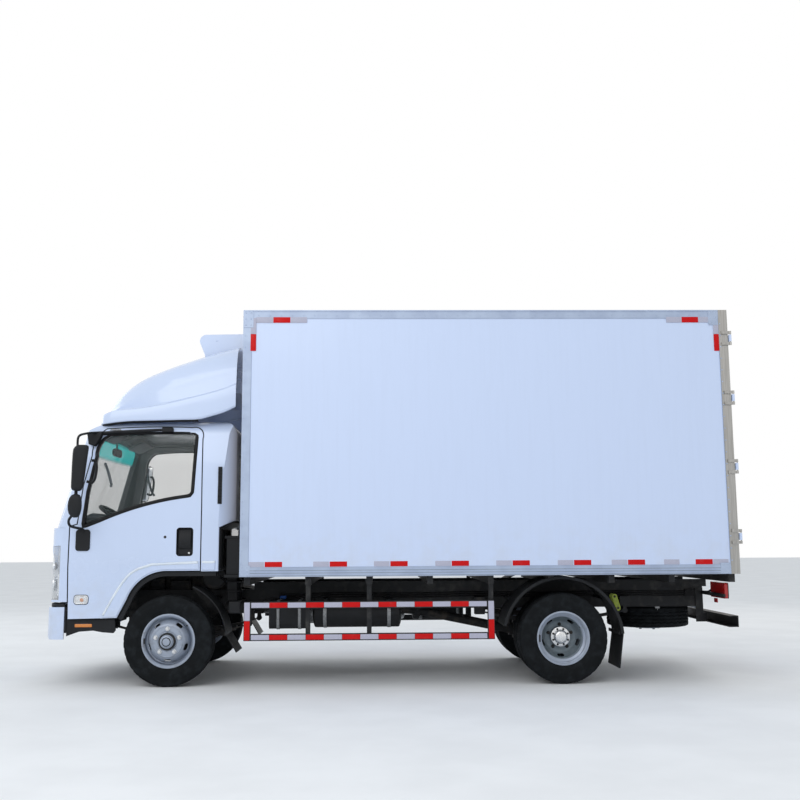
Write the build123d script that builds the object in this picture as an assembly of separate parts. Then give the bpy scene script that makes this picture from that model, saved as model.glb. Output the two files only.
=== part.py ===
from build123d import *
import math
import os

# Light cab-over refrigerated truck, 4x2, in millimetres.
# Shapes are drawn with X rearward from the front axle, Y to the truck's right and Z up from the
# ground. They are written with X measured from the middle of the truck's length.

# Overall
WHEELBASE = 3360.0
FRONT_OVERHANG = 1100.0
REAR_OVERHANG = 1535.0
MID_LENGTH = (WHEELBASE + REAR_OVERHANG - FRONT_OVERHANG) / 2
RUNNING_GAP = 6.0

# Tyres and wheels
TYRE_R = 380.0
TYRE_W = 190.0
TREAD_W = 158.0
TYRE_BORE_R = 206.0
RIM_FLANGE_R = 225.0
RIM_W = 150.0
RIM_THICK = 7.0
DISC_OFFSET = 116.0
DISC_THICK = 11.0
STUD_CIRCLE_R = 104.0
STUD_R = 13.0
STUD_COUNT = 5
VENT_COUNT = 5
WHEEL_CENTRE_BORE_R = 70.0
FRONT_TYRE_Y = 885.0
REAR_OUTER_TYRE_Y = 915.0
REAR_INNER_TYRE_Y = REAR_OUTER_TYRE_Y - 2 * DISC_OFFSET
AXLE_Z = TYRE_R

# Steering
KINGPIN_Y = 770.0
KINGPIN_R = 15.0
STEER_ARM_X = 175.0
STEER_ARM_Z = 308.0
STEER_ARM_THICK = 20.0
BALL_STUD_R = 8.0
BALL_STUD_GAP = 8.0
TIE_ROD_R = 14.0
SPINDLE_R = 28.0
REAR_SPINDLE_R = 44.0
PIN_FIT = 0.3

# Chassis frame
RAIL_OUT_Y = 380.0
RAIL_FLANGE = 62.0
RAIL_WALL = 7.0
RAIL_Z0 = 600.0
RAIL_Z1 = 780.0
RAIL_X0 = -955.0
RAIL_X1 = 4770.0

# Cab outside, at the middle of the front unless it says otherwise
CAB_HALF_W = 975.0
CAB_ROOF_HALF_W = 905.0
CAB_FRONT_X = -1072.0
CAB_SILL_Z = 712.0
CAB_REAR_SILL_Z = 962.0
CAB_ROOF_Z = 2292.0
CAB_BACK_X = 530.0
CAB_BACK_LOW_X = 412.0
CAB_BACK_STEP_Z = 1395.0
CAB_SKIN = 48.0
SCREEN_BASE_Z = 1335.0
SCREEN_RAKE = 0.285
COWL_SET = 30.0
NOSE_CROWN = 45.0
CORNER_DEPTH = 165.0
CORNER_Y = 850.0
GLASS = 6.0
TILT_PIVOT_X = -1040.0
TILT_PIVOT_Z = 640.0
TILT_TUBE_R = 14.0
ROOF_SPLIT_Z = 2185.0

# Cab doors
DOOR_THICK = 58.0
DOOR_GAP = 10.0
DOOR_HINGE_X = -836.0
DOOR_HINGE_Y = 962.0
DOOR_HINGE_Z = [800.0, 1235.0]
DOOR_PIN_R = 4.0
DOOR_KNUCKLE_R = 8.0
DOOR_KNUCKLE_HALF = 22.0
DOOR_OUTER_SKIN = 5.0

# Refrigerated box
BOX_FRONT_X = 611.0
BOX_REAR_X = 4868.0
BOX_HALF_W = 1115.0
BOX_Z0 = 915.0
BOX_Z1 = 3216.0
BOX_WALL = 80.0
BOX_FLOOR = 100.0
TRIM = 4.0
TRIM_FACE = 72.0
BOTTOM_RAIL = 75.0
RAIL_RIB = 9.0
REAR_FRAME_LONG = 78.0
REAR_POST = 73.0
BOX_HINGE_X = BOX_REAR_X + 18.0
BOX_HINGE_Y = BOX_HALF_W + 13.0
HINGE_BARREL_R = 9.0
HINGE_PIN_R = 5.0
LOCK_BAR_R = 9.0

# Refrigeration unit on the front wall
UNIT_FRONT_X = 150.0
UNIT_HALF_W = 600.0
UNIT_Z0 = 2560.0
UNIT_Z1 = 3112.0

# Roof fairing
FAIRING_FRONT_X = -680.0
FAIRING_REAR_X = 535.0
FAIRING_HALF_W = 955.0
FAIRING_SKIN = 12.0
FAIRING_TOP_Z = 2950.0


def block(x0, x1, y0, y1, z0, z1):
    """A box between two corners."""
    return Pos((x0 + x1) / 2, (y0 + y1) / 2, (z0 + z1) / 2) * Box(abs(x1 - x0), abs(y1 - y0), abs(z1 - z0))


def outline(rows):
    """A closed face: a row of 2 numbers ends a straight run, a row of 4 an arc through its first 2."""
    edges = []
    last = rows[-1][-2:]
    for row in rows:
        end = row[-2:]
        if len(row) == 4:
            edges.append(ThreePointArc(last, row[:2], end))
        else:
            edges.append(Line(last, end))
        last = end
    return make_face(edges)


def side_slab(rows, y0, y1):
    """An X-Z outline made solid from y0 to y1."""
    solid = extrude(Plane.XZ * outline(rows), amount=abs(y1 - y0) / 2, both=True)
    return Pos(0, (y0 + y1) / 2, 0) * solid


def front_slab(rows, x0, x1):
    """A Y-Z outline made solid from x0 to x1."""
    solid = extrude(Plane.YZ * outline(rows), amount=abs(x1 - x0) / 2, both=True)
    return Pos((x0 + x1) / 2, 0, 0) * solid


def plan_slab(rows, z0, z1):
    """An X-Y outline made solid from z0 to z1."""
    solid = extrude(outline(rows), amount=z1 - z0)
    return Pos(0, 0, z0) * solid


def rod_y(x, z, radius, y0, y1):
    return Pos(x, (y0 + y1) / 2, z) * Rot(90, 0, 0) * Cylinder(radius, abs(y1 - y0))


def rod_x(y, z, radius, x0, x1):
    return Pos((x0 + x1) / 2, y, z) * Rot(0, 90, 0) * Cylinder(radius, abs(x1 - x0))


def rod_z(x, y, radius, z0, z1):
    return Pos(x, y, (z0 + z1) / 2) * Cylinder(radius, abs(z1 - z0))


def rod_between(start, end, radius):
    """A round bar from one point to another."""
    a = Vector(*start)
    b = Vector(*end)
    return extrude(Plane(origin=a, z_dir=b - a) * Circle(radius), amount=(b - a).length)


def pipe(points, radius, bend):
    """A round tube along straight runs joined by arcs."""
    path = FilletPolyline(*points, radius=bend)
    start = Vector(*points[0])
    heading = Vector(*points[1]) - start
    return sweep(Plane(origin=start, z_dir=heading) * Circle(radius), path=path)


def spun_y(rows, x, y, z, side):
    """A ring turned about a line along Y: rows of radius and distance outward from y."""
    ring = revolve(Plane.XY * outline([tuple(row) for row in rows]), axis=Axis.Y)
    if side < 0:
        ring = mirror(ring, about=Plane.XZ)
    return Pos(x, y, z) * ring


def other_side(shape):
    return mirror(shape, about=Plane.XZ)


def both_sides(shape):
    return [shape, other_side(shape)]


# Wheels

def tyre(x, y, z, side):
    """One tyre on its bead seats, with a rounded shoulder and a bulged wall."""
    half = TYRE_W / 2
    tread = TREAD_W / 2
    bead = RIM_W / 2 - 14.5
    flange = RIM_W / 2 - 0.5
    wall_r = (TYRE_R + TYRE_BORE_R) / 2
    rows = [
        (TYRE_BORE_R, bead - 22),
        (TYRE_BORE_R, bead),
        (RIM_FLANGE_R - 6, flange),
        (RIM_FLANGE_R + 2, flange),
        (wall_r, half, TYRE_R - 34, half - 6),
        (TYRE_R - 8, tread + 6, TYRE_R - 3, tread),
        (TYRE_R, 0, TYRE_R - 3, -tread),
        (TYRE_R - 8, -tread - 6, TYRE_R - 34, 6 - half),
        (wall_r, -half, RIM_FLANGE_R + 2, -flange),
        (RIM_FLANGE_R - 6, -flange),
        (TYRE_BORE_R, -bead),
        (TYRE_BORE_R, 22 - bead),
    ]
    return spun_y(rows, x, y, z, side)


def wheel(x, y, z, side):
    """One pressed steel wheel: a rim barrel with flanges, and a dished disc with slots and stud holes.

    The disc's mounting face lies DISC_OFFSET outward of the rim's middle, on the given side.
    """
    half = RIM_W / 2
    seat = TYRE_BORE_R - PIN_FIT
    well = seat - 20
    t = RIM_THICK
    barrel_rows = [
        (RIM_FLANGE_R, half),
        (RIM_FLANGE_R, half + 5),
        (RIM_FLANGE_R - 12, half + 5),
        (seat - t, half - 8),
        (seat - t, 30 - t),
        (well - t, 18),
        (well - t, -26),
        (seat - t, -40),
        (seat - t, 8 - half),
        (RIM_FLANGE_R - 12, -half - 5),
        (RIM_FLANGE_R, -half - 5),
        (RIM_FLANGE_R, -half),
        (RIM_FLANGE_R - 6, -half),
        (seat, 14 - half),
        (seat, -34),
        (well, -22),
        (well, 14),
        (seat, 32),
        (seat, half - 14),
        (RIM_FLANGE_R - 6, half),
    ]
    d = DISC_THICK
    face = DISC_OFFSET
    disc_rows = [
        (well - t + 1, 14),
        (well - t + 1, 28),
        (168, 62, 150, 92),
        (140, 108, 124, face),
        (WHEEL_CENTRE_BORE_R, face),
        (WHEEL_CENTRE_BORE_R, face - d),
        (120, face - d),
        (132, 100, 140, 86),
        (156, 54, well - t - d, 14),
    ]
    disc = spun_y(disc_rows, 0, 0, 0, 1)
    for i in range(VENT_COUNT):
        slot = Pos(0, 70, 0) * Rot(0, 0, 0) * extrude(
            Plane.XZ * (Pos(160, 0) * Rot(0, 0, 90) * SlotOverall(62, 24)), amount=60, both=True)
        disc -= Rot(0, 36 + i * 360 / VENT_COUNT, 0) * slot
    ring = spun_y(barrel_rows, 0, 0, 0, 1) + disc
    if side < 0:
        ring = other_side(ring)
    return Pos(x, y, z) * ring


def stud_nuts(x, y, z, side, count):
    """Nuts on the mounting face, each a short hexagon that sits on the disc."""
    nuts = []
    for i in range(count):
        angle = math.radians(90 + i * 360 / count)
        nut = extrude(Plane.XZ * RegularPolygon(STUD_R, 6), amount=11, both=True)
        place = Pos(STUD_CIRCLE_R * math.cos(angle), side * (DISC_OFFSET + 10), STUD_CIRCLE_R * math.sin(angle))
        nuts.append(place * nut)
    return [Pos(x, y, z) * nut for nut in nuts]


def front_wheel_metal():
    """Left front rim, disc, nuts, hub and brake drum, which all turn on the spindle."""
    y = -FRONT_TYRE_Y
    face = DISC_OFFSET
    bore = SPINDLE_R + PIN_FIT
    hub_rows = [
        (bore, -58),
        (158, -58),
        (165, -50),
        (165, 20),
        (150, 30),
        (122, face - DISC_THICK),
        (66, face - DISC_THICK),
        (66, face + 18),
        (50, face + 22),
        (46, face + 40),
        (30, face + 47),
        (0, face + 48),
        (0, face + 30),
        (bore, face + 30),
    ]
    metal = wheel(0, y, AXLE_Z, -1) + spun_y(hub_rows, 0, y, AXLE_Z, -1)
    for nut in stud_nuts(0, y, AXLE_Z, -1, STUD_COUNT):
        metal += nut
    return metal


def rear_wheel_metal():
    """Left rear twin rims back to back, with the drum, the hub and its bolted cap."""
    outer_y = -REAR_OUTER_TYRE_Y
    inner_y = -REAR_INNER_TYRE_Y
    joint_y = -(REAR_OUTER_TYRE_Y - DISC_OFFSET)
    bore = REAR_SPINDLE_R + PIN_FIT
    hub_rows = [
        (bore, -150),
        (160, -150),
        (167, -142),
        (167, -60),
        (150, -40),
        (122, -DISC_THICK),
        (66, -DISC_THICK),
        (66, 40),
        (82, 40),
        (82, 56),
        (56, 56),
        (52, 92),
        (40, 98),
        (0, 98),
        (0, 60),
        (bore, 60),
    ]
    metal = wheel(WHEELBASE, outer_y, AXLE_Z, 1) + wheel(WHEELBASE, inner_y, AXLE_Z, -1)
    metal += spun_y(hub_rows, WHEELBASE, joint_y, AXLE_Z, -1)
    for i in range(STUD_COUNT):
        angle = math.radians(90 + i * 360 / STUD_COUNT)
        nut = extrude(Plane.XZ * RegularPolygon(STUD_R, 6), amount=11, both=True)
        metal += Pos(WHEELBASE + STUD_CIRCLE_R * math.cos(angle), joint_y - DISC_THICK - 10,
                     AXLE_Z + STUD_CIRCLE_R * math.sin(angle)) * nut
    return metal


# Steering and axles

def knuckle():
    """Left steering knuckle: two yokes on the king pin, brake plate, spindle and steering arm."""
    yokes = rod_z(0, -KINGPIN_Y, 34, 425, 452) + rod_z(0, -KINGPIN_Y, 34, 308, 335)
    pin = rod_z(0, -KINGPIN_Y, KINGPIN_R, 300, 462)
    neck = block(-32, 32, -KINGPIN_Y - 46, -KINGPIN_Y - 14, 308, 335)
    neck += block(-32, 32, -KINGPIN_Y - 46, -KINGPIN_Y - 14, 425, 452)
    flange = block(-34, 34, -KINGPIN_Y - 50, -KINGPIN_Y - 42, 308, 452)
    plate = rod_y(0, AXLE_Z, 150, -KINGPIN_Y - 50, -KINGPIN_Y - 44)
    spindle = rod_y(0, AXLE_Z, SPINDLE_R, -KINGPIN_Y - 44, -FRONT_TYRE_Y - 110)
    top = STEER_ARM_Z + STEER_ARM_THICK
    arm = block(-20, STEER_ARM_X, -KINGPIN_Y - 12, -KINGPIN_Y + 12, STEER_ARM_Z, top)
    arm += rod_z(STEER_ARM_X, -KINGPIN_Y, 18, STEER_ARM_Z, top)
    arm -= rod_z(STEER_ARM_X, -KINGPIN_Y, BALL_STUD_R + PIN_FIT, STEER_ARM_Z - 1, top + 1)
    return yokes + pin + neck + flange + plate + spindle + arm


def tie_rod():
    """Cross rod below the steering arms, with a ball stud up into each arm's eye."""
    top = STEER_ARM_Z - BALL_STUD_GAP
    z = top - TIE_ROD_R
    rod = rod_y(STEER_ARM_X, z, TIE_ROD_R - 2, -KINGPIN_Y, KINGPIN_Y)
    for side in (-1, 1):
        rod += rod_z(STEER_ARM_X, side * KINGPIN_Y, 18, z - TIE_ROD_R, top)
        rod += rod_z(STEER_ARM_X, side * KINGPIN_Y, BALL_STUD_R, z, STEER_ARM_Z + STEER_ARM_THICK + 6)
    return rod


def front_axle():
    """Forged beam, dropped between the spring seats, with a bored eye at each king pin."""
    eye_y = KINGPIN_Y
    rows = [
        (-eye_y + 18, 352),
        (-640, 348),
        (-540, 270),
        (540, 270),
        (640, 348),
        (eye_y - 18, 352),
        (eye_y - 18, 408),
        (620, 404),
        (520, 330),
        (-520, 330),
        (-620, 404),
        (-eye_y + 18, 408),
    ]
    beam = front_slab(rows, -32, 32)
    web_cut = front_slab([(-500, 284), (500, 284), (500, 316), (-500, 316)], 12, 40)
    beam -= web_cut + mirror(web_cut, about=Plane.YZ)
    for side in (-1, 1):
        beam += rod_z(0, side * eye_y, 34, 346, 414)
        beam -= rod_z(0, side * eye_y, KINGPIN_R + PIN_FIT, 340, 420)
        beam += block(-75, 75, side * 385 - 36, side * 385 + 36, 330, 342)
    return beam


def rear_axle():
    """Banjo housing with tapered arms, and the spindle ends that the hubs turn on."""
    arm_rows = [(0, 0), (150, 0), (96, 190), (58, 330), (56, 610), (REAR_SPINDLE_R, 625),
                (REAR_SPINDLE_R, 855), (0, 855)]
    arm = spun_y(arm_rows, WHEELBASE, 0, AXLE_Z, 1)
    housing = arm + other_side(arm)
    nose = rod_x(0, AXLE_Z, 85, WHEELBASE - 300, WHEELBASE)
    cover = rod_x(0, AXLE_Z, 135, WHEELBASE, WHEELBASE + 120)
    housing += nose + cover
    for side in (-1, 1):
        housing += block(WHEELBASE - 56, WHEELBASE + 56, side * 455 - 36, side * 455 + 36, 425, 445)
    return housing


# name, axle x, y of the spring, top of its seat, half length, rise at the eyes, leaves, hanger x, shackle x
SPRINGS = [
    (0.0, 385.0, 342.0, 610.0, 90.0, 4),
    (WHEELBASE, 455.0, 445.0, 660.0, 70.0, 6),
]
LEAF = 11.0
U_BOLT_X = 86.0


def leaf_springs():
    """Four packs of leaves with eyes, hangers, shackles and U-bolts, one pack for each end of each axle."""
    packs = []
    for axle_x, y, seat_z, half, rise, leaves in SPRINGS:
        pack = None
        for i in range(leaves):
            reach = half * (1 - 0.2 * (leaves - 1 - i))
            if reach <= 120:
                reach = 120 + 60 * i
            lift = rise * (reach / half) ** 2
            z = seat_z + i * LEAF
            rows = [
                (axle_x - reach, z + lift),
                (axle_x, z, axle_x + reach, z + lift),
                (axle_x + reach, z + lift + LEAF + 1),
                (axle_x, z + LEAF + 1, axle_x - reach, z + lift + LEAF + 1),
            ]
            leaf = side_slab(rows, -y - 35, -y + 35)
            pack = leaf if pack is None else pack + leaf
        eye_z = seat_z + (leaves - 1) * LEAF + rise + LEAF / 2
        top = seat_z + leaves * LEAF
        for end in (-1, 1):
            pack += rod_y(axle_x + end * half, eye_z, 24, -y - 35, -y + 35)
            leg_x = axle_x + end * U_BOLT_X
            pack += block(leg_x - 6, leg_x + 6, -y - 47, -y - 37, seat_z - 90, top + 16)
            pack += block(leg_x - 6, leg_x + 6, -y + 37, -y + 47, seat_z - 90, top + 16)
        pack += block(axle_x - U_BOLT_X - 10, axle_x + U_BOLT_X + 10, -y - 47, -y + 47, top, top + 14)
        front_x = axle_x - half
        rear_x = axle_x + half
        inner = RAIL_OUT_Y if y > RAIL_OUT_Y + 20 else RAIL_OUT_Y - RAIL_FLANGE
        hanger_top = RAIL_Z0 + 100 if y > RAIL_OUT_Y + 20 else RAIL_Z0
        for x, low in ((front_x, eye_z), (rear_x, eye_z + 70)):
            pack += block(x - 45, x + 45, -y - 44, -y - 36, low - 26, hanger_top)
            pack += block(x - 45, x + 45, -y + 36, -y + 44, low - 26, hanger_top)
            pack += block(x - 45, x + 45, -y - 44, -y + 44, hanger_top - 10, hanger_top)
            pack += rod_y(x, low, 13, -y - 44, -y + 44)
            if inner == RAIL_OUT_Y:
                pack += block(x - 45, x + 45, -y + 44, -inner, hanger_top - 80, hanger_top)
        pack += block(rear_x - 16, rear_x + 16, -y - 36, -y - 24, eye_z, eye_z + 70)
        pack += block(rear_x - 16, rear_x + 16, -y + 24, -y + 36, eye_z, eye_z + 70)
        packs += both_sides(pack)
    return packs


# Frame and what hangs on it

def frame_rails():
    """Two C-section side rails with the open side inward."""
    y0 = RAIL_OUT_Y - RAIL_FLANGE
    rail = block(RAIL_X0, RAIL_X1, -RAIL_OUT_Y, -y0, RAIL_Z0, RAIL_Z1)
    rail -= block(RAIL_X0 - 1, RAIL_X1 + 1, -RAIL_OUT_Y + RAIL_WALL, -y0 + 1, RAIL_Z0 + RAIL_WALL, RAIL_Z1 - RAIL_WALL)
    lug = side_slab([(RAIL_X0, 612), (TILT_PIVOT_X, 618), (TILT_PIVOT_X - 22, 640), (TILT_PIVOT_X, 662),
                     (RAIL_X0, 690)], -RAIL_OUT_Y, -RAIL_OUT_Y + 14)
    rail += lug - rod_y(TILT_PIVOT_X, TILT_PIVOT_Z, TILT_TUBE_R + PIN_FIT, -600, -300)
    return both_sides(rail)


# x of the middle, half width along X, lowest z, highest z
CROSSMEMBERS = [
    (-640.0, 45.0, 607.0, 690.0),
    (960.0, 40.0, 695.0, 773.0),
    (2150.0, 40.0, 628.0, 760.0),
    (2780.0, 40.0, 620.0, 760.0),
    (3900.0, 40.0, 620.0, 760.0),
    (4740.0, 30.0, 607.0, 773.0),
]


def crossmembers():
    """Pressed members between the rails' webs, with the cab's tilt tube at the front."""
    inside = RAIL_OUT_Y - RAIL_WALL
    members = []
    for x, half, z0, z1 in CROSSMEMBERS:
        member = block(x - half, x + half, -inside, inside, z0, z1)
        member -= block(x - half + 8, x + half - 8, -inside + 30, inside - 30, z0 - 1, z1 - 8)
        members.append(member)
    members.append(rod_y(TILT_PIVOT_X, TILT_PIVOT_Z, TILT_TUBE_R, -RAIL_OUT_Y - 40, RAIL_OUT_Y + 40))
    return members


def engine_block():
    """The engine as one plain block with its sump, and the gearbox behind it."""
    rows = [(-430, 640), (-380, 500), (120, 500), (300, 560), (470, 560), (900, 590), (900, 720),
            (520, 800), (440, 930), (330, 945), (300, 1030), (-380, 1040), (-430, 980)]
    return side_slab(rows, -250, 250)


def propshaft():
    """Two tubes with a centre bearing hung from the crossmember, and a joint at each end."""
    join = (2150.0, 0.0, 560.0)
    nose = (WHEELBASE - 330.0, 0.0, AXLE_Z)
    start = (900.0, 0.0, 640.0)
    front = rod_between(start, join, 42) + rod_x(0, join[2], 60, join[0] - 30, join[0] + 30)
    rear = rod_between(join, nose, 42) + rod_x(0, AXLE_Z, 58, nose[0] - 12, WHEELBASE - 300)
    hanger = block(join[0] - 15, join[0] + 15, -90, 90, join[2] - 20, 628)
    return front + rear + hanger


def exhaust():
    """Down pipe, silencer and tail pipe along the right-hand side."""
    y = 560.0
    silencer = rod_x(y, 505, 105, 1080, 1720)
    inlet = pipe([(100, 250, 540), (100, 480, 540), (760, 480, 540), (960, y, 505), (1090, y, 505)], 32, 60)
    tail = pipe([(1710, y, 505), (1860, y, 505), (2020, 760, 470), (2020, 930, 440)], 32, 50)
    straps = block(1180, 1210, RAIL_OUT_Y, y, 600, 640) + block(1580, 1610, RAIL_OUT_Y, y, 600, 640)
    straps += block(1180, 1210, y - 12, y + 12, 590, 640) + block(1580, 1610, y - 12, y + 12, 590, 640)
    return silencer + inlet + tail + straps


def rounded_tank(x0, x1, y0, y1, z0, z1, radius):
    tank = block(x0, x1, y0, y1, z0, z1)
    return fillet(tank.edges().filter_by(Axis.X), radius)


def side_tanks():
    """Fuel tank on the right, reagent tank and air reservoirs on the left, each with its bracket to the rail."""
    fuel = rounded_tank(2130, 2630, 470, 900, 440, 780, 60)
    fuel += block(2200, 2250, RAIL_OUT_Y, 480, 620, 760) + block(2520, 2570, RAIL_OUT_Y, 480, 620, 760)
    fuel += Pos(2300, 820, 790) * Cylinder(45, 60)
    reagent = rounded_tank(840, 1160, -880, -520, 465, 700, 45)
    reagent += block(900, 940, -530, -RAIL_OUT_Y, 620, 680) + block(1060, 1100, -530, -RAIL_OUT_Y, 620, 680)
    air = rod_x(-650, 570, 110, 1230, 1960)
    air += block(1300, 1330, -650, -RAIL_OUT_Y, 650, 700) + block(1860, 1890, -650, -RAIL_OUT_Y, 650, 700)
    air += block(1300, 1330, -665, -635, 640, 700) + block(1860, 1890, -665, -635, 640, 700)
    return [fuel, reagent, air]


def battery_box():
    """Battery box behind the front wheel on the right and the intake box behind it on the left."""
    battery = rounded_tank(640, 1010, 625, 890, 470, 760, 15)
    battery += block(780, 840, RAIL_OUT_Y, 635, 640, 720)
    intake = rounded_tank(500, 590, -900, -470, 600, 700, 10)
    intake += block(520, 570, -480, -RAIL_OUT_Y, 640, 690)
    return [battery, intake]


SPARE_X = 4350.0
SPARE_Z = 498.0


def spare_wheel():
    """Spare tyre lying flat on its carrier plate under the rear overhang."""
    tyre_part = Pos(SPARE_X, 0, SPARE_Z) * Rot(90, 0, 0) * tyre(0, 0, 0, 1)
    return tyre_part


def spare_carrier():
    """Spare wheel's pressed wheel and the winch bar that holds it up to the rear crossmember."""
    metal = Pos(SPARE_X, 0, SPARE_Z) * Rot(90, 0, 0) * wheel(0, 0, 0, -1)
    metal += rod_z(SPARE_X, 0, 74, SPARE_Z - DISC_OFFSET, SPARE_Z - DISC_OFFSET + DISC_THICK)
    metal += rod_z(SPARE_X, 0, 16, SPARE_Z - DISC_OFFSET, 640)
    metal += block(SPARE_X - 40, SPARE_X + 40, -RAIL_OUT_Y + RAIL_WALL, RAIL_OUT_Y - RAIL_WALL, 640, 690)
    return metal


def plan_front(nose_x, half_w, corner_y, crown, depth, back_x):
    """Plan outline of a crowned front with rounded corners, straight sides and a square back."""
    bend_x = nose_x + crown + 0.28 * (depth - crown)
    bend_y = corner_y + 0.74 * (half_w - corner_y)
    return [
        (bend_x, -bend_y, nose_x + depth, -half_w),
        (back_x, -half_w),
        (back_x, half_w),
        (nose_x + depth, half_w),
        (bend_x, bend_y, nose_x + crown, corner_y),
        (nose_x, 0, nose_x + crown, -corner_y),
    ]


def front_bumper():
    """Painted bumper wrapped round the front corners, and the brackets that hold it to the rails."""
    outer = plan_slab(plan_front(-FRONT_OVERHANG, 968, 850, 55, 190, -885), 400, 668)
    skin = 18.0
    inner = plan_slab(plan_front(-FRONT_OVERHANG + skin, 968 - skin, 850 - skin, 55, 190, -880), 390, 690)
    bumper = outer - inner
    lower = front_slab([(-1000, 380), (1000, 380), (1000, 400), (930, 400), (860, 455), (-860, 455), (-930, 400),
                        (-1000, 400)], -1200, -800)
    bumper -= lower
    for side in (-1, 1):
        bumper += block(-FRONT_OVERHANG + 20, RAIL_X0 - 2, side * 300, side * 340, 560, 598)
        bumper += block(RAIL_X0 - 2, RAIL_X0 + 60, side * 300, side * 340, 560, RAIL_Z0)
    return bumper


def steps():
    """Black valance below each door with the entry step behind it."""
    rows = [(-866, 425), (-760, 462), (-640, 470), (-560, 455), (-470, 448), (-452, 470), (-462, 562), (-866, 562)]
    valance = side_slab(rows, -948, -928)
    tread = block(-830, -480, -930, -730, 478, 492)
    tread += block(-830, -480, -742, -730, 492, 560)
    hanger = None
    for x0, x1 in ((-810, -770), (-540, -500)):
        arm = block(x0, x1, -735, -RAIL_OUT_Y, 520, 556) + block(x0, x1, -RAIL_OUT_Y - 8, -RAIL_OUT_Y, 520, 690)
        hanger = arm if hanger is None else hanger + arm
    return both_sides(valance + tread + hanger)


def arc_band(cx, cz, r_out, r_in, start, end):
    """Outline of a curved band between two angles, degrees from +X towards +Z."""
    def at(radius, angle):
        a = math.radians(angle)
        return (cx + radius * math.cos(a), cz + radius * math.sin(a))
    mid = (start + end) / 2
    return [at(r_out, start), at(r_out, mid) + at(r_out, end), at(r_in, end), at(r_in, mid) + at(r_in, start)]


FRONT_GUARD_R = 490.0
REAR_GUARD_R = 513.0
GUARD_SKIN = 8.0
REAR_GUARD_Y = 1012.0


def front_mudguards():
    """Curved guard behind each front wheel, clear of the tyre at full lock, with a flap."""
    r_in = FRONT_GUARD_R
    r_out = r_in + GUARD_SKIN
    sheet = side_slab(arc_band(0, AXLE_Z, r_out, r_in, 4, 66), -985, -650)
    flap = side_slab([(r_in - 1, 430), (r_out - 2, 430), (585, 285), (577, 281)], -985, -650)
    stay = block(330, 360, -700, -RAIL_OUT_Y, 705, 730)
    return both_sides(sheet + flap + stay)


def rear_mudguards():
    """Half-round guard over each pair of rear wheels, with a hanging flap."""
    x = WHEELBASE
    y = REAR_GUARD_Y
    r_in = REAR_GUARD_R
    r_out = r_in + GUARD_SKIN
    sheet = side_slab(arc_band(x, AXLE_Z, r_out, r_in, 4, 168), -y, -575)
    lip = side_slab(arc_band(x, AXLE_Z, r_out, r_in - 17, 4, 168), -y, -y + 8)
    flap = side_slab([(x + r_in - 1, 430), (x + r_out - 2, 430), (x + r_out - 43, 128), (x + r_out - 55, 128)], -y + 12, -590)
    stays = block(x + 395, x + 425, -700, -RAIL_OUT_Y, 690, 715)
    stays += block(x - 425, x - 395, -700, -RAIL_OUT_Y, 690, 715)
    return both_sides(sheet + lip + flap + stays)


SILL_Z0 = 845.0
SUB_RAIL_HALF = 30.0
SILL_HALF = 25.0
SILL_COUNT = 9
SILL_PITCH = (BOX_REAR_X - BOX_FRONT_X - 120) / (SILL_COUNT - 1)


def sill_x(i):
    """Middle of the cross sill numbered i from the front."""
    return BOX_FRONT_X + 60 + i * SILL_PITCH


GUARD_X0 = 650.0
GUARD_X1 = 2765.0
GUARD_Z0 = 385.0
GUARD_Z1 = 708.0
GUARD_BAR = 58.0
GUARD_INSET = 35.0
GUARD_Y = BOX_HALF_W - GUARD_INSET


def side_guards():
    """Rectangular guard frame on each side with three stays up to the box's cross sills."""
    frame = block(GUARD_X0, GUARD_X1, -GUARD_Y, -GUARD_Y + 25, GUARD_Z0, GUARD_Z1)
    frame -= block(GUARD_X0 + GUARD_BAR, GUARD_X1 - GUARD_BAR, -GUARD_Y - 1, -GUARD_Y + 26,
                   GUARD_Z0 + GUARD_BAR, GUARD_Z1 - GUARD_BAR)
    for i in (1, 2, 4):
        frame += block(sill_x(i) - 20, sill_x(i) + 20, -GUARD_Y + 25, -GUARD_Y + 50, GUARD_Z0 + 5, SILL_Z0)
    return both_sides(frame)


def underrun_bar():
    """Rear underrun channel on two drop posts from the rails, with the lamp bar above it."""
    bar = block(4798, 4880, -975, 975, 460, 556)
    bar -= block(4790, 4872, -980, 980, 468, 548)
    for side in (-1, 1):
        bar += block(4700, 4768, side * RAIL_OUT_Y, side * (RAIL_OUT_Y + 14), 462, 770)
        bar += block(4768, 4800, side * RAIL_OUT_Y, side * (RAIL_OUT_Y + 14), 462, 540)
        bar += block(4752, 4768, side * (RAIL_OUT_Y + 10), side * 1000, 712, 740)
    return bar


def tail_lamps():
    """Lamp cluster at each rear corner under the box."""
    lamps = []
    for side in (-1, 1):
        lamp = block(4768, 4796, side * 620, side * 985, 700, 834)
        lamps.append(fillet(lamp.edges().filter_by(Axis.X), 14))
    return lamps


# Box

def box_base():
    """Two long sub-rails on the frame, and the cross sills that lie on them under the floor."""
    pieces = []
    for side in (-1, 1):
        y = side * (RAIL_OUT_Y - 31)
        pieces.append(block(BOX_FRONT_X + 40, BOX_REAR_X - 60, y - SUB_RAIL_HALF, y + SUB_RAIL_HALF, RAIL_Z1, SILL_Z0))
    notch_r = REAR_GUARD_R + GUARD_SKIN + RUNNING_GAP
    for i in range(SILL_COUNT):
        x = sill_x(i)
        sill = block(x - SILL_HALF, x + SILL_HALF, -BOX_HALF_W + 45, BOX_HALF_W - 45, SILL_Z0, BOX_Z0)
        if abs(x - WHEELBASE) < notch_r:
            for side in (-1, 1):
                sill -= rod_y(WHEELBASE, AXLE_Z, notch_r, side * 565, side * BOX_HALF_W)
        pieces.append(sill)
    return pieces


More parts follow.
